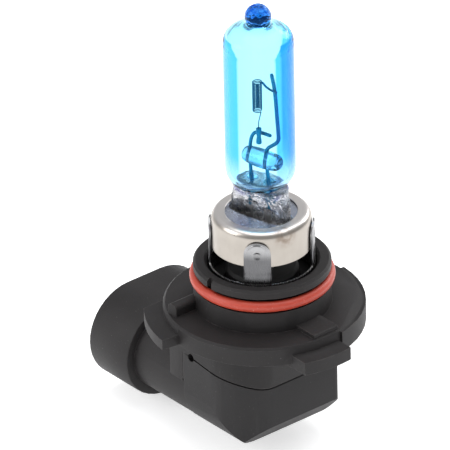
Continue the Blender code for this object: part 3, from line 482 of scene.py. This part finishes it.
# %% Bridge rod
bridge_low, bridge_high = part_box("glass_bridge")
BRIDGE_Z = (bridge_low.z + bridge_high.z) / 2
BRIDGE_R = (bridge_high.z - bridge_low.z) / 2
bridge_half = 3.95 * MM
t = np.linspace(-1, 1, 60)
bridge_radius = BRIDGE_R * (1 - np.abs(t) ** 7) ** 0.5 * (1 + 0.05 * np.cos(4.2 * t)) / 1.05
bridge_path = to_bulb(np.stack([0.3 * MM + bridge_half * t, 0 * t, BRIDGE_Z + 0 * t], axis=-1))
bridge = grid_mesh(
    "bridge_glass", [(tube(bridge_path[1:-1], bridge_radius[1:-1], SIDEWAYS, 40), False, False)]
)
bridge_glass = Finish("bridge_glass", Transmission_Weight=1.0, IOR=1.52, Roughness=0.01)
# Painted reflection: below its middle the rod is tinted azure, standing in for the blue tube seen through it.
bridge_above_painted_blue = bridge_glass.axis(2).step(BRIDGE_Z - 1.0 * MM, BRIDGE_Z + 0.4 * MM)
bridge_clear = bridge_glass.mix(bridge_glass.noise(2 * MM), (0.86, 0.93, 1.0), (0.55, 0.62, 0.92))
bridge_glass.set("Base Color", bridge_glass.mix(bridge_above_painted_blue, (0.10, 0.5, 0.95), bridge_clear))
bridge_glass.bump(bridge_glass.noise(1.5 * MM, 1.0), 0.1 * MM)
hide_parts("glass_bridge")
dress(bridge, bridge_glass)

# %% [markdown]
# ## Leads
#
# Two stiff wires rise from the seal. The long one steps out and stands beside the filament; the short one
# hooks over to hold the filament's lower leg. They are bent by hand tools, so the bends are round but tight.

# %% Lead wires
WIRE_R = 0.33 * MM


def lead(name, node, corners, finish):
    """A wire along a smooth curve through its corners, closed at both ends with a slight dome."""
    path = to_bulb(smooth_through(np.array(corners) * MM, 10))
    radius = np.full(len(path), WIRE_R)
    radius[[0, -1]] *= 0.75
    piece = grid_mesh(name, [(tube(path, radius, SIDEWAYS, 14), False, False)])
    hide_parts(node)
    dress(piece, finish)


lead_metal = Finish("lead_metal", Metallic=1.0)
drawn = lead_metal.noise(0.5 * MM, 3.0, (1, 1, 0.15))
# Painted reflection: the wires are coloured blue to stand in for the blue tube mirrored in them.
lead_metal.set("Base Color", lead_metal.mix(drawn, (0.0, 0.11, 0.24), (0.005, 0.2, 0.36)))
lead_metal.set("Roughness", 0.22 + drawn * 0.25)
lead_metal.bump(drawn, 0.02 * MM)
foot_x = LEAD_X / MM
lead(
    "long_lead",
    "long_lead_wire",
    [
        (foot_x, 0, 17), (foot_x, 0, 20), (foot_x, 0, 22.5), (1.45, 0, 25.5), (1.3, 0, 28), (1.32, 0, 29.6),
        (1.75, 0, 30.5), (2.9, 0, 31.5), (3.65, 0, 32.4), (3.8, 0, 33.6), (3.55, 0, 37), (3.2, 0, 42),
        (2.6, 0, 45.2),
    ],
    lead_metal,
)
lead(
    "short_lead",
    "short_lead_wire",
    [
        (-foot_x, 0, 17), (-foot_x, 0, 20), (-foot_x, 0, 22.5), (-2.15, 0, 26), (-2.15, 0, 29),
        (-1.98, 0, 30.8), (-1.5, 0, 32.1), (-0.7, 0, 32.8), (0.4, 0, 33.0), (2.3, 0, 33.0),
    ],
    lead_metal,
)

# %% [markdown]
# ## Filament
#
# A halogen filament is tungsten wire wound into a tight coil. Its upper leg is welded to the long lead, and
# its lower leg runs into a crimped sleeve on the short one. The coil is a helix; each leg is a tube of its
# own, because a tube's section needs a side vector that its path never lines up with.

# %% Coil and legs
COIL_R = 0.78 * MM
COIL_X = -0.45 * MM
COIL_LOW, COIL_HIGH = 37.1 * MM, 42.8 * MM
COIL_TURNS = 19
COIL_WIRE = 0.09 * MM
TOP_LEG_WIRE = 2.2 * COIL_WIRE


def coil_path(steps_per_turn=18):
    """A helix: a circle round the coil's middle whose height falls evenly with the angle."""
    a = np.linspace(0, 2 * np.pi * COIL_TURNS, COIL_TURNS * steps_per_turn)
    z = COIL_HIGH - (COIL_HIGH - COIL_LOW) * a / a[-1]
    return to_bulb(np.stack([COIL_X + COIL_R * np.cos(a), COIL_R * np.sin(a), z], axis=-1))


top_leg = [(0.3, 0, 42.8), (0.9, -0.2, 43.0), (1.8, -0.42, 42.6), (2.8, -0.46, 42.3), (3.9, -0.42, 42.1)]
low_leg = [(0.33, 0, 37.1), (0.42, -0.5, 36.4), (0.45, -0.93, 35.4), (0.45, -0.95, 33.6), (0.45, -0.95, 31.7)]
upright = to_bulb([0, 0, 1])
top_path, low_path = [to_bulb(smooth_through(np.array(leg) * MM)) for leg in (top_leg, low_leg)]
wires = [
    (coil_path(), COIL_WIRE, upright),
    (top_path, TOP_LEG_WIRE, upright),
    (low_path, COIL_WIRE, SIDEWAYS),
]
filament = grid_mesh("filament_coil", [(tube(*wire, 8), False, False) for wire in wires])
tungsten = Finish("tungsten", Metallic=1.0)
grain = tungsten.noise(0.12 * MM, 2.0)
# Painted reflection: the coil is coloured blue to stand in for the blue tube mirrored in it.
tungsten.set("Base Color", tungsten.mix(grain, (0.0, 0.05, 0.14), (0.003, 0.13, 0.28)))
tungsten.set("Roughness", 0.3 + grain * 0.3)
tungsten.bump(grain, 0.01 * MM)
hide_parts("filament")
dress(filament, tungsten)

# %% Crimped sleeve
sleeve_low, sleeve_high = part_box("filament_sleeve")
sleeve_z = np.linspace(sleeve_low.z, sleeve_high.z, 40)
share = np.linspace(0, 1, 40)
waist = 1 - 0.22 * np.exp(-(((share - 0.45) / 0.16) ** 2))
soft_ends = np.minimum(1, 0.8 + 8 * share * (1 - share))
sleeve_r = 0.48 * MM * waist * soft_ends
sleeve_path = to_bulb(np.stack([0.45 * MM + 0 * share, -0.93 * MM + 0 * share, sleeve_z], axis=-1))
sleeve = grid_mesh("sleeve", [(tube(sleeve_path, sleeve_r, SIDEWAYS, 20), False, False)])
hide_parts("filament_sleeve")
dress(sleeve, lead_metal)

# %% [markdown]
# ## Drawn metal cup
#
# The burner sits in a cup drawn from bright plated sheet. The press leaves a soft shoulder and a slightly
# rough wall. Its top is painted brighter, a painted highlight, and a brown patch on one side is a painted
# reflection.
# The section is one closed loop, up the outside and down the inside, so the sheet has a real thickness at
# every edge.

# %% Cup
cup_low, cup_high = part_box("burner_cup")
CUP_R = (cup_high.x - cup_low.x) / 2
CUP_LOW, CUP_TOP = cup_low.z, cup_high.z
SHEET = 0.35 * MM


def closed_section(outside, thickness):
    """A sheet's section: up the outside, then down a line set inwards by the thickness."""
    outside = np.asarray(outside, float)
    return np.concatenate([outside, set_inwards(outside, thickness)[::-1]])


cup_line = [
    (CUP_R, CUP_LOW), (CUP_R, CUP_LOW + 0.5 * MM), (CUP_R, CUP_LOW + 2 * MM), (CUP_R, CUP_LOW + 3.8 * MM),
    (CUP_R - 0.02 * MM, CUP_TOP - 1.35 * MM), (CUP_R - 0.16 * MM, CUP_TOP - 0.75 * MM),
    (CUP_R - 0.55 * MM, CUP_TOP - 0.25 * MM), (CUP_R - 1.1 * MM, CUP_TOP - 0.03 * MM),
    (CUP_R - 1.7 * MM, CUP_TOP), (6.45 * MM, CUP_TOP), (6.25 * MM, CUP_TOP - 0.06 * MM),
]
cup = grid_mesh("cup", [(turned(closed_section(smooth_through(cup_line, 8), SHEET), 160), True, False)])
cup.data.set_sharp_from_angle(angle=math.radians(50))
cup_metal = Finish("cup_metal", Metallic=1.0)
# Painted reflection: a soft brown patch high on one side of the wall.
reflection_spot = cup_metal.near((CUP_R * 0.94, -CUP_R * 0.19, CUP_TOP - 0.9 * MM), 2.9 * MM)
painted_reflection = reflection_spot * cup_metal.noise(1.1 * MM, 3.0).step(0.2, 0.8)
draw_lines = cup_metal.noise(0.35 * MM, 4.0, (1, 1, 0.12))
haze = cup_metal.noise(3.5 * MM, 3.0)
cup_tint = cup_metal.mix(haze, (0.46, 0.425, 0.385), (0.36, 0.33, 0.295))
# Painted highlight: the colour is brighter near the top.
painted_top_highlight = cup_metal.axis(2).step(CUP_TOP - 0.6 * MM, CUP_TOP - 0.1 * MM)
cup_tint = cup_metal.mix(painted_top_highlight, cup_tint, (0.8, 0.765, 0.74))
cup_metal.set("Base Color", cup_metal.mix(painted_reflection * 0.8, cup_tint, (0.20, 0.14, 0.10)))
cup_metal.set("Roughness", 0.2 + haze * 0.12 + draw_lines * 0.1 + painted_reflection * 0.2)
cup_metal.bump(draw_lines, 0.012 * MM)
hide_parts("burner_cup")
dress(cup, cup_metal)

# %% [markdown]
# ## Spring plate in the cup
#
# A thin plate under the cup's mouth grips the pinch. Its hole has the pinch's outline with a lip turned up.
# The surface blends two closed curves: the hole's outline and a circle, with a height for each step between.

# %% Plate with a slot
insert_low, insert_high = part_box("cup_insert")
PLATE_TOP = insert_high.z


def plate_grid(columns=160):
    """Each row blends the hole's outline and a circle, by the row's share, at the row's height."""
    u = np.linspace(0, 2 * np.pi, columns, endpoint=False)
    around = np.stack([np.cos(u), np.sin(u)], axis=-1)
    hole = np.array([6.3, 2.15]) * MM * np.sign(around) * np.abs(around) ** 0.6
    radius = (insert_high.x - insert_low.x) / 2
    circle = radius * around
    rows = [
        (0.0, -0.9), (0.0, -0.25), (0.03, -0.08), (0.1, 0.0), (0.5, 0.0),
        (0.85, -0.05), (0.96, -0.35), (1.0, -0.9), (1.0, -2.3),
    ]
    rows = smooth_through(rows, 4)
    share, drop = rows[:, 0][:, None, None], rows[:, 1][:, None] * MM
    flat = (1 - share) * hole + share * circle
    top = np.concatenate([flat, (PLATE_TOP + drop + 0 * u)[..., None]], axis=-1)
    under = top.copy()
    inwards = np.clip(share[..., 0] * 6 - 4.6, 0, 1)
    under[..., 2] -= 0.3 * MM * (1 - inwards)
    under[..., :2] *= 1 - (0.3 * MM / radius) * inwards[..., None]
    return to_bulb(np.concatenate([under, top[::-1]]))


plate = grid_mesh("spring_plate", [(plate_grid(), True, False)])
plate_skin = bmesh.new()
plate_skin.from_mesh(plate.data)
bmesh.ops.recalc_face_normals(plate_skin, faces=plate_skin.faces)
plate_skin.to_mesh(plate.data)
plate_skin.free()
plate_metal = Finish("plate_metal", Metallic=1.0)
plate_haze = plate_metal.noise(2 * MM, 3.0)
plate_metal.set("Base Color", plate_metal.mix(plate_haze, (0.38, 0.43, 0.55), (0.58, 0.61, 0.68)))
plate_metal.set("Roughness", 0.16 + plate_haze * 0.2)
plate_metal.bump(plate_metal.noise(0.5 * MM), 0.015 * MM)
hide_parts("cup_insert")
dress(plate, plate_metal)

# %% [markdown]
# ## Retaining ring
#
# A stainless band with four upright tabs holds the cup; each tab is spot-welded to it, and the electrode has
# left a round dimple. In plan the band is a circle, so the piece is a grid over angle and height: between the
# tabs the rows stop low, and at a tab they rise to a round top. Columns are crowded at each tab's edges. A
# painted glint runs along the band's top edge, and the band and the tabs' lower parts are painted darker for
# the collar's shade.

# %% Band and tabs
ring_low, ring_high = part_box("retaining_ring")
RING_R = (ring_high.x - ring_low.x) / 2
RING_LOW, TAB_TOP = ring_low.z, ring_high.z
BAND_TOP = RING_LOW + 3.5 * MM
TAB_HALF = 2.4 * MM
RING_SHEET = 0.38 * MM
TAB_ANGLES = np.radians([45, 135, 225, 315])


def ring_columns():
    """(angle, top height) of each column: plain band, then for each tab a round-topped rise."""
    half = TAB_HALF / RING_R
    inside = np.sin(np.linspace(-np.pi / 2, np.pi / 2, 41))
    rise = TAB_TOP - TAB_HALF + TAB_HALF * np.sqrt(np.clip(1 - inside**2, 0, 1))
    offsets = np.concatenate([[-half - 2e-5 / RING_R], half * inside, [half + 2e-5 / RING_R]])
    tops = np.concatenate([[BAND_TOP], rise, [BAND_TOP]])
    plain = np.linspace(half + 0.01, np.pi / 2 - half - 0.01, 30)
    angles = np.concatenate([np.concatenate([a + offsets, a + plain]) for a in TAB_ANGLES])
    heights = np.tile(np.concatenate([tops, np.full(len(plain), BAND_TOP)]), 4)
    return angles, heights


def ring_grid(rows=64):
    """Outer skin up, inner skin down. The radius is the ring's, less a round dimple with a raised rim, less a
    tuck above the tab's foot, plus a bead that follows the tab's edge; each bump is e to minus a power of
    distance over size."""
    angle, top = ring_columns()
    share = np.linspace(0, 1, rows)[:, None] ** 0.9
    z = RING_LOW + share * (top - RING_LOW)
    around = (angle[:, None] - TAB_ANGLES[None, :] + np.pi) % (2 * np.pi) - np.pi
    beside = np.abs(around).min(axis=1) * RING_R
    spot = np.hypot(beside[None, :], z - (TAB_TOP - 2.5 * MM))
    pit = 0.16 * MM * np.exp(-((spot / (0.62 * MM)) ** 4))
    rim = 0.07 * MM * np.exp(-(((spot - 0.85 * MM) / (0.2 * MM)) ** 2))
    shoulder = np.maximum(z - (TAB_TOP - TAB_HALF), 0)
    edge = TAB_HALF - np.hypot(beside[None, :], shoulder)
    bead = 0.13 * MM * np.exp(-(((edge - 0.34 * MM) / (0.17 * MM)) ** 2)) * (z > BAND_TOP)
    tuck = 0.12 * MM * np.clip((z - BAND_TOP - 0.6 * MM) / (1.2 * MM), 0, 1)
    outer = RING_R - 0.02 * MM - pit + rim - tuck + bead
    radius = np.concatenate([outer, (outer - RING_SHEET + 0.12 * MM)[::-1]])
    height = np.concatenate([z, z[::-1]])
    return np.stack([radius * np.cos(angle), radius * np.sin(angle), height], axis=-1)


ring = grid_mesh("steel_ring", [(ring_grid(), True, False)])
ring.data.set_sharp_from_angle(angle=math.radians(45))
ring_steel = Finish("ring_steel", Metallic=1.0)
rolled = ring_steel.noise(0.3 * MM, 4.0, (1, 1, 0.1))
ring_haze = ring_steel.noise(1.8 * MM, 3.0)
ring_height = ring_steel.axis(2)
ring_tint = ring_steel.mix(ring_haze, (0.44, 0.44, 0.44), (0.30, 0.30, 0.31))
# Painted shade: the band and the tabs darken towards their feet, where the collar shades them.
tab_foot = 1 - ring_height.step(BAND_TOP + 4.4 * MM, BAND_TOP + 7.0 * MM)
ring_tint = ring_steel.mix(tab_foot * 0.78, ring_tint, (0.07, 0.07, 0.075))
# Painted glint: a bright line along the band's top edge.
above_band = ring_height.step(BAND_TOP + 0.1 * MM, BAND_TOP + 0.3 * MM)
band_edge_glint = ring_height.step(BAND_TOP - 0.25 * MM, BAND_TOP - 0.05 * MM) * (1 - above_band)
ring_steel.set("Base Color", ring_steel.mix(band_edge_glint, ring_tint, (0.92, 0.91, 0.9)))
ring_steel.set("Roughness", 0.2 + rolled * 0.16)
ring_steel.bump(rolled, 0.015 * MM)
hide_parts("retaining_ring")
dress(ring, ring_steel)

# %% [markdown]
# ## Seal ring
#
# A silicone ring sits in a groove of the neck. It is a torus whose section is a little flat where the groove
# holds it, with a few specks of dust.

# %% Seal ring
oring_low, oring_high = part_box("o_ring")
ORING_R = (oring_high.x - oring_low.x) / 2
ORING_Z = (oring_high.z + oring_low.z) / 2
ORING_SECTION = (oring_high.z - oring_low.z) / 2
v = np.linspace(0, 2 * np.pi, 40, endpoint=False)
section = np.stack(
    [
        ORING_R - ORING_SECTION + ORING_SECTION * np.cos(v) * (1 - 0.02 * np.cos(v) ** 12),
        ORING_Z + ORING_SECTION * np.sin(v),
    ],
    axis=-1,
)
seal_ring = grid_mesh("seal_ring", [(turned(section, 180), True, False)])
red_rubber = Finish("red_rubber", Coat_Weight=0.15, Coat_Roughness=0.3)
rubber_noise = red_rubber.noise(0.9 * MM, 4.0)
specks = red_rubber.noise(0.22 * MM, 1.0).step(0.7, 0.78)
rubber_tint = red_rubber.mix(rubber_noise, (0.40, 0.034, 0.016), (0.52, 0.06, 0.03))
red_rubber.set("Base Color", red_rubber.mix(specks * 0.6, rubber_tint, (0.75, 0.4, 0.33)))
red_rubber.set("Roughness", 0.36 + rubber_noise * 0.2)
red_rubber.bump(rubber_noise, 0.03 * MM)
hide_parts("o_ring")
dress(seal_ring, red_rubber)

# %% [markdown]
# ## Moulded base and cover
#
# The shapes of the two mouldings are already right. What a moulding needs is its surface: smooth round walls,
# crisp edges with a hair of rounding, and the fine grain of a spark-eroded mould. The solid's triangles are
# merged into one skin, nearly flat neighbours become one face, and edges get a narrow bevel.

# %% Skin from a solid


def moulded_copy(name, node, edge):
    """A copy of a solid's mesh with its doubles merged, flat faces joined and sharp edges bevelled."""
    mesh = nodes[node].data.copy()
    skin = bmesh.new()
    skin.from_mesh(mesh)
    bmesh.ops.remove_doubles(skin, verts=skin.verts, dist=0.002 * MM)
    bmesh.ops.dissolve_limit(skin, angle_limit=math.radians(1.5), verts=skin.verts, edges=skin.edges)
    skin.to_mesh(mesh)
    skin.free()
    piece = bpy.data.objects.new(name, mesh)
    bpy.context.scene.collection.objects.link(piece)
    bevel = piece.modifiers.new("edge", "BEVEL")
    bevel.limit_method = "ANGLE"
    bevel.angle_limit = math.radians(50)
    bevel.width = edge
    bevel.segments = 2
    bevel.use_clamp_overlap = True
    mesh.shade_smooth()
    mesh.set_sharp_from_angle(angle=math.radians(32))
    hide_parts(node)
    return piece


# %% Black plastic
VENT_PLACE = (-6.2 * MM, -11.3 * MM, -10.0 * MM)
SEAT_R = RING_R + 0.3 * MM


def black_plastic(name, dark, light):
    """Glass-filled black nylon: fine grain, faint flow clouds, dust, a dull sheen, and edges lightened partly
    by rubbing and partly by a painted edge highlight. It is darkest in noisy patches round the vent, and
    inside the ring's seat, where the dark is painted shade."""
    finish = Finish(name, Specular_IOR_Level=0.26)
    grain = finish.noise(0.16 * MM, 3.0)
    flow = finish.noise(6 * MM, 4.0, (1, 1, 0.5))
    dust = finish.noise(0.3 * MM, 2.0).step(0.68, 0.8)
    tint = finish.mix(flow, dark, light)
    # Lighter edges: partly rubbed wear, partly a painted edge highlight.
    rubbed_and_lit_edges = finish.edges(0.22 * MM).step(0.03, 0.22) * finish.noise(1.5 * MM, 3.0).step(0.3, 0.7)
    tint = finish.mix(rubbed_and_lit_edges * 0.7, tint, (0.13, 0.12, 0.115))
    # Near-black in noisy patches round the vent.
    vent_dark_patches = finish.near(VENT_PLACE, 1.3 * MM) * finish.noise(0.5 * MM, 4.0).step(0.4, 0.5)
    # Painted shade: inside the ring's seat the colour goes near-black.
    outside_seat = finish.from_axis().step(SEAT_R - 0.5 * MM, SEAT_R + 0.15 * MM)
    painted_seat_shade = (1 - outside_seat) * finish.axis(2).step(0, 1 * MM)
    tint = finish.mix(dust * 0.35, tint, (0.16, 0.155, 0.15))
    finish.set("Base Color", finish.mix(vent_dark_patches + painted_seat_shade, tint, (0.002, 0.002, 0.002)))
    finish.set("Roughness", 0.46 + grain * 0.12 + flow * 0.08)
    finish.bump(grain + flow * 0.4, 0.02 * MM)
    return finish


# %% Base and cover
base_plastic = black_plastic("base_plastic", (0.0135, 0.0122, 0.0125), (0.024, 0.0218, 0.0222))
base = moulded_copy("base_moulding", "base_body", 0.12 * MM)
dress(base, base_plastic)
cover_plastic = black_plastic("cover_plastic", (0.0145, 0.0135, 0.014), (0.026, 0.0242, 0.025))
cover = moulded_copy("cover_moulding", "rear_cover", 0.12 * MM)
dress(cover, cover_plastic)

# %% [markdown]
# ## Joint between base and cover
#
# The cover meets the base in a lap joint: a lip on one piece stands behind the edge of the other, so that
# no light or dust comes straight through. The solids only leave a gap there, so the lips are made here: a
# land at the neck's end, tongues behind the box's walls, and a web at each end of the seam.

# %% Lips of the joint


def rounded_slab(low, high, corner, steps=9):
    """A slab square to X with round corners: each row is one outline in Y and Z, at four places in X, and the
    outer two are drawn in by a hair so that the edges are soft."""
    low, high = np.array(low), np.array(high)
    half = (high[1:] - low[1:]) / 2
    outline = []
    for quarter in range(4):
        turn = (quarter + np.linspace(0, 1, steps)) * np.pi / 2
        direction = np.stack([np.cos(turn), np.sin(turn)], axis=-1)
        signs = np.array([(1, 1), (-1, 1), (-1, -1), (1, -1)][quarter])
        outline.append(signs * (half - corner) + corner * direction)
    outline = np.concatenate(outline)
    middle = (high[1:] + low[1:]) / 2
    hair = 0.05 * MM
    rows = []
    for x, shrink in ((low[0], hair), (low[0] + hair, 0), (high[0] - hair, 0), (high[0], hair)):
        flat = middle + outline * (1 - shrink / half)
        rows.append(np.concatenate([np.full((len(outline), 1), x), flat], axis=-1))
    return np.stack(rows)


def wall_tongue(path, low, high, thickness):
    """A thin upright strip along a path in plan: at each point, four corners between two heights, the inner
    two set square to the path."""
    path = np.asarray(path, float)
    along = np.gradient(path, axis=0)
    along /= np.linalg.norm(along, axis=1, keepdims=True)
    inner = path + thickness * np.stack([-along[:, 1], along[:, 0]], axis=-1)
    corners = [(path, low), (inner, low), (inner, high), (path, high)]
    rows = [np.concatenate([flat, np.full((len(flat), 1), z)], axis=-1) for flat, z in corners]
    return np.stack(rows, axis=1)


# %% Lands, tongues and webs
# Just inside the box's walls, in millimetres: its end face, its side and the round corner between them.
BOX_FACE = 5.27
BOX_SIDE = 9.67
BOX_CORNER = 6.15
TONGUE_LOW, TONGUE_HIGH, TONGUE_SHEET = -14.8 * MM, -6.3 * MM, 0.35 * MM
arc = np.linspace(-np.pi / 2, 0, 24)
corner_x = BOX_FACE - BOX_CORNER + BOX_CORNER * np.cos(arc)
corner_y = -BOX_SIDE + BOX_CORNER + BOX_CORNER * np.sin(arc)
side_start, face_end = [(-7.9, -BOX_SIDE), (-4.0, -BOX_SIDE)], [(BOX_FACE, 3.0), (BOX_FACE, 8.9)]
round_path = np.concatenate([side_start, np.stack([corner_x, corner_y], axis=-1), face_end]) * MM
far_path = np.array([(5.0, BOX_SIDE), (-1.0, BOX_SIDE), (-7.9, BOX_SIDE)]) * MM
tongues = [wall_tongue(path, TONGUE_LOW, TONGUE_HIGH, TONGUE_SHEET) for path in (round_path, far_path)]
land = rounded_slab(np.array([-8.95, -10.25, -24.45]) * MM, np.array([-8.07, 10.25, -11.6]) * MM, 6.2 * MM)
lap = grid_mesh("joint_lap", [(grid, False, False) for grid in [land] + tongues])
far_web = rounded_slab(np.array([-8.5, 9.6, -15.4]) * MM, np.array([-6.75, 11.27, -9.4]) * MM, 0.4 * MM)
near_web = far_web * [1, -1, 1]
webs = grid_mesh("joint_webs", [(far_web, False, False), (near_web, False, True)])

# %% Near-black plastic, painted shade
joint_shade_plastic = Finish("joint_shade_plastic", Specular_IOR_Level=0.1)
lap_grain = joint_shade_plastic.noise(0.2 * MM)
# Painted shade: the lips are near-black so that the slit between base and cover reads as shadow.
joint_shade_plastic.set("Base Color", joint_shade_plastic.mix(lap_grain, (0.001, 0.001, 0.001), (0.004, 0.004, 0.004)))
joint_shade_plastic.set("Roughness", 0.7 + lap_grain * 0.2)
joint_shade_plastic.bump(lap_grain, 0.02 * MM)
dress(lap, joint_shade_plastic)
dress(webs, base_plastic)

# %% [markdown]
# ## Pieces inside
#
# The foils, outer leads, crimps, blades, block and rubber plug keep their solids: they are stampings and
# plain mouldings, seen only through the socket or the glass. Each still gets its own finish.

# %% Finishes for the inner pieces


def inner_metal(name, dark, light, rough):
    """Stamped or drawn metal: streaks, and a roughness that follows them."""
    finish = Finish(name, Metallic=1.0)
    streaks = finish.noise(0.4 * MM, 4.0, (0.15, 1, 1))
    finish.set("Base Color", finish.mix(streaks, dark, light))
    finish.set("Roughness", rough + streaks * 0.2)
    finish.bump(streaks, 0.01 * MM)
    return finish


def inner_solid(name, dark, light, rough):
    """Rubber or pale plastic: soft clouds and a fine grain."""
    finish = Finish(name)
    clouds = finish.noise(2 * MM, 4.0)
    finish.set("Base Color", finish.mix(clouds, dark, light))
    finish.set("Roughness", rough + clouds * 0.15)
    finish.bump(finish.noise(0.2 * MM), 0.02 * MM)
    return finish


tin = inner_metal("tinned_brass", (0.62, 0.60, 0.55), (0.78, 0.76, 0.70), 0.22)
crimp_metal = inner_metal("crimp_brass", (0.60, 0.52, 0.38), (0.74, 0.66, 0.50), 0.25)
foil_metal = inner_metal("foil_metal", (0.30, 0.29, 0.29), (0.45, 0.44, 0.43), 0.3)
outer_lead = inner_metal("outer_lead_metal", (0.5, 0.5, 0.5), (0.66, 0.66, 0.66), 0.28)
# The plug's rubber is black, made darker still as painted shade inside the seat.
plug_rubber = inner_solid("plug_rubber", (0.004, 0.004, 0.004), (0.009, 0.009, 0.009), 0.6)
block_plastic = inner_solid("block_plastic", (0.42, 0.40, 0.36), (0.52, 0.50, 0.46), 0.5)
KEPT = {
    "terminal_left": tin,
    "terminal_right": tin,
    "crimp_left": crimp_metal,
    "crimp_right": crimp_metal,
    "foil_left": foil_metal,
    "foil_right": foil_metal,
    "outer_lead_left": outer_lead,
    "outer_lead_right": outer_lead,
    "lead_grommet": plug_rubber,
    "terminal_carrier": block_plastic,
}
for node, finish in KEPT.items():
    nodes[node].data.materials.clear()
    nodes[node].data.materials.append(finish.material)
print("kept solids:", sorted(KEPT))

# %% [markdown]
# ## Floor, light and camera
#
# The bulb stands on a pale studio floor. A broad light overhead and two soft boxes light it, and the bright
# horizon and floor give the metal and the glass something pale to mirror. The camera looks from the rib's
# side with a very long lens, so upright lines stay parallel.

# %% Floor
FLOOR_SIZE = 3.0
FLOOR_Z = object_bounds()[0][2]
floor_mesh = bpy.data.meshes.new("floor")
half = FLOOR_SIZE / 2
floor_corners = [(x * half, y * half, FLOOR_Z) for x, y in ((-1, -1), (1, -1), (1, 1), (-1, 1))]
floor_mesh.from_pydata(floor_corners, [], [(0, 1, 2, 3)])
floor = bpy.data.objects.new("floor", floor_mesh)
bpy.context.scene.collection.objects.link(floor)
paper = Finish("floor_paper", Roughness=0.9, Emission_Color=(1.0, 1.0, 1.0), Emission_Strength=0.56)
fibres = paper.noise(0.8 * MM, 3.0)
paper.set("Base Color", paper.mix(fibres, (0.86, 0.86, 0.86), (0.9, 0.9, 0.9)))
floor_mesh.materials.append(paper.material)

# %% Lights


def soft_light(name, place, size, power):
    """A square area light that faces the bulb's middle."""
    data = bpy.data.lights.new(name, "AREA")
    data.size = size
    data.energy = power
    lamp = bpy.data.objects.new(name, data)
    aim = Vector((0, 0, 0.01)) - Vector(place)
    lamp.matrix_world = Matrix.Translation(place) @ aim.to_track_quat("-Z", "Y").to_matrix().to_4x4()
    bpy.context.scene.collection.objects.link(lamp)
    return lamp


soft_light("overhead", (0.05, 0.1, 0.8), 0.9, 5.0)
soft_light("left_box", (-0.35, -0.75, 0.45), 0.5, 3.6)
soft_light("back_box", (-0.1, 0.85, 0.42), 0.4, 2.5)


def studio_world(low, high):
    """A pale horizon that meets the floor, fading to a dim ceiling: strength falls with the height of the
    direction looked in."""
    world = bpy.data.worlds.new("studio")
    world.use_nodes = True
    tree = world.node_tree
    place = tree.nodes.new("ShaderNodeTexCoord")
    parts = tree.nodes.new("ShaderNodeSeparateXYZ")
    ramp = tree.nodes.new("ShaderNodeMapRange")
    for name, value in (("From Min", 0.015), ("From Max", 0.12), ("To Min", low), ("To Max", high)):
        ramp.inputs[name].default_value = value
    tree.links.new(place.outputs["Generated"], parts.inputs[0])
    tree.links.new(parts.outputs["Z"], ramp.inputs["Value"])
    tree.links.new(ramp.outputs[0], tree.nodes["Background"].inputs["Strength"])
    tree.nodes["Background"].inputs["Color"].default_value = (0.97, 0.98, 1.0, 1)
    return world


bpy.context.scene.world = studio_world(1.0, 0.5)

# %% Camera
CAMERA_TURN = math.radians(50.6)
CAMERA_RISE = math.radians(30)
CAMERA_ROLL = math.radians(-1.1)
CAMERA_DISTANCE = 2.4
FRAME_WIDTH = 76.9 * MM
TARGET = Vector((-4.0, -4.8, 14.7)) * MM
camera_data = bpy.data.cameras.new("camera")
camera_data.sensor_width = 36
camera_data.lens = 36 * CAMERA_DISTANCE / FRAME_WIDTH
camera_data.clip_end = 20
camera = bpy.data.objects.new("camera", camera_data)
bpy.context.scene.collection.objects.link(camera)
towards = Vector(
    (
        math.sin(CAMERA_TURN) * math.cos(CAMERA_RISE),
        -math.cos(CAMERA_TURN) * math.cos(CAMERA_RISE),
        math.sin(CAMERA_RISE),
    )
)
look = (-towards).to_track_quat("-Z", "Y").to_matrix().to_4x4()
camera.matrix_world = (
    Matrix.Translation(TARGET + towards * CAMERA_DISTANCE) @ look @ Matrix.Rotation(CAMERA_ROLL, 4, "Z")
)
bpy.context.scene.camera = camera
bpy.context.scene.view_settings.view_transform = "Standard"
print("lens", round(camera_data.lens), "mm")
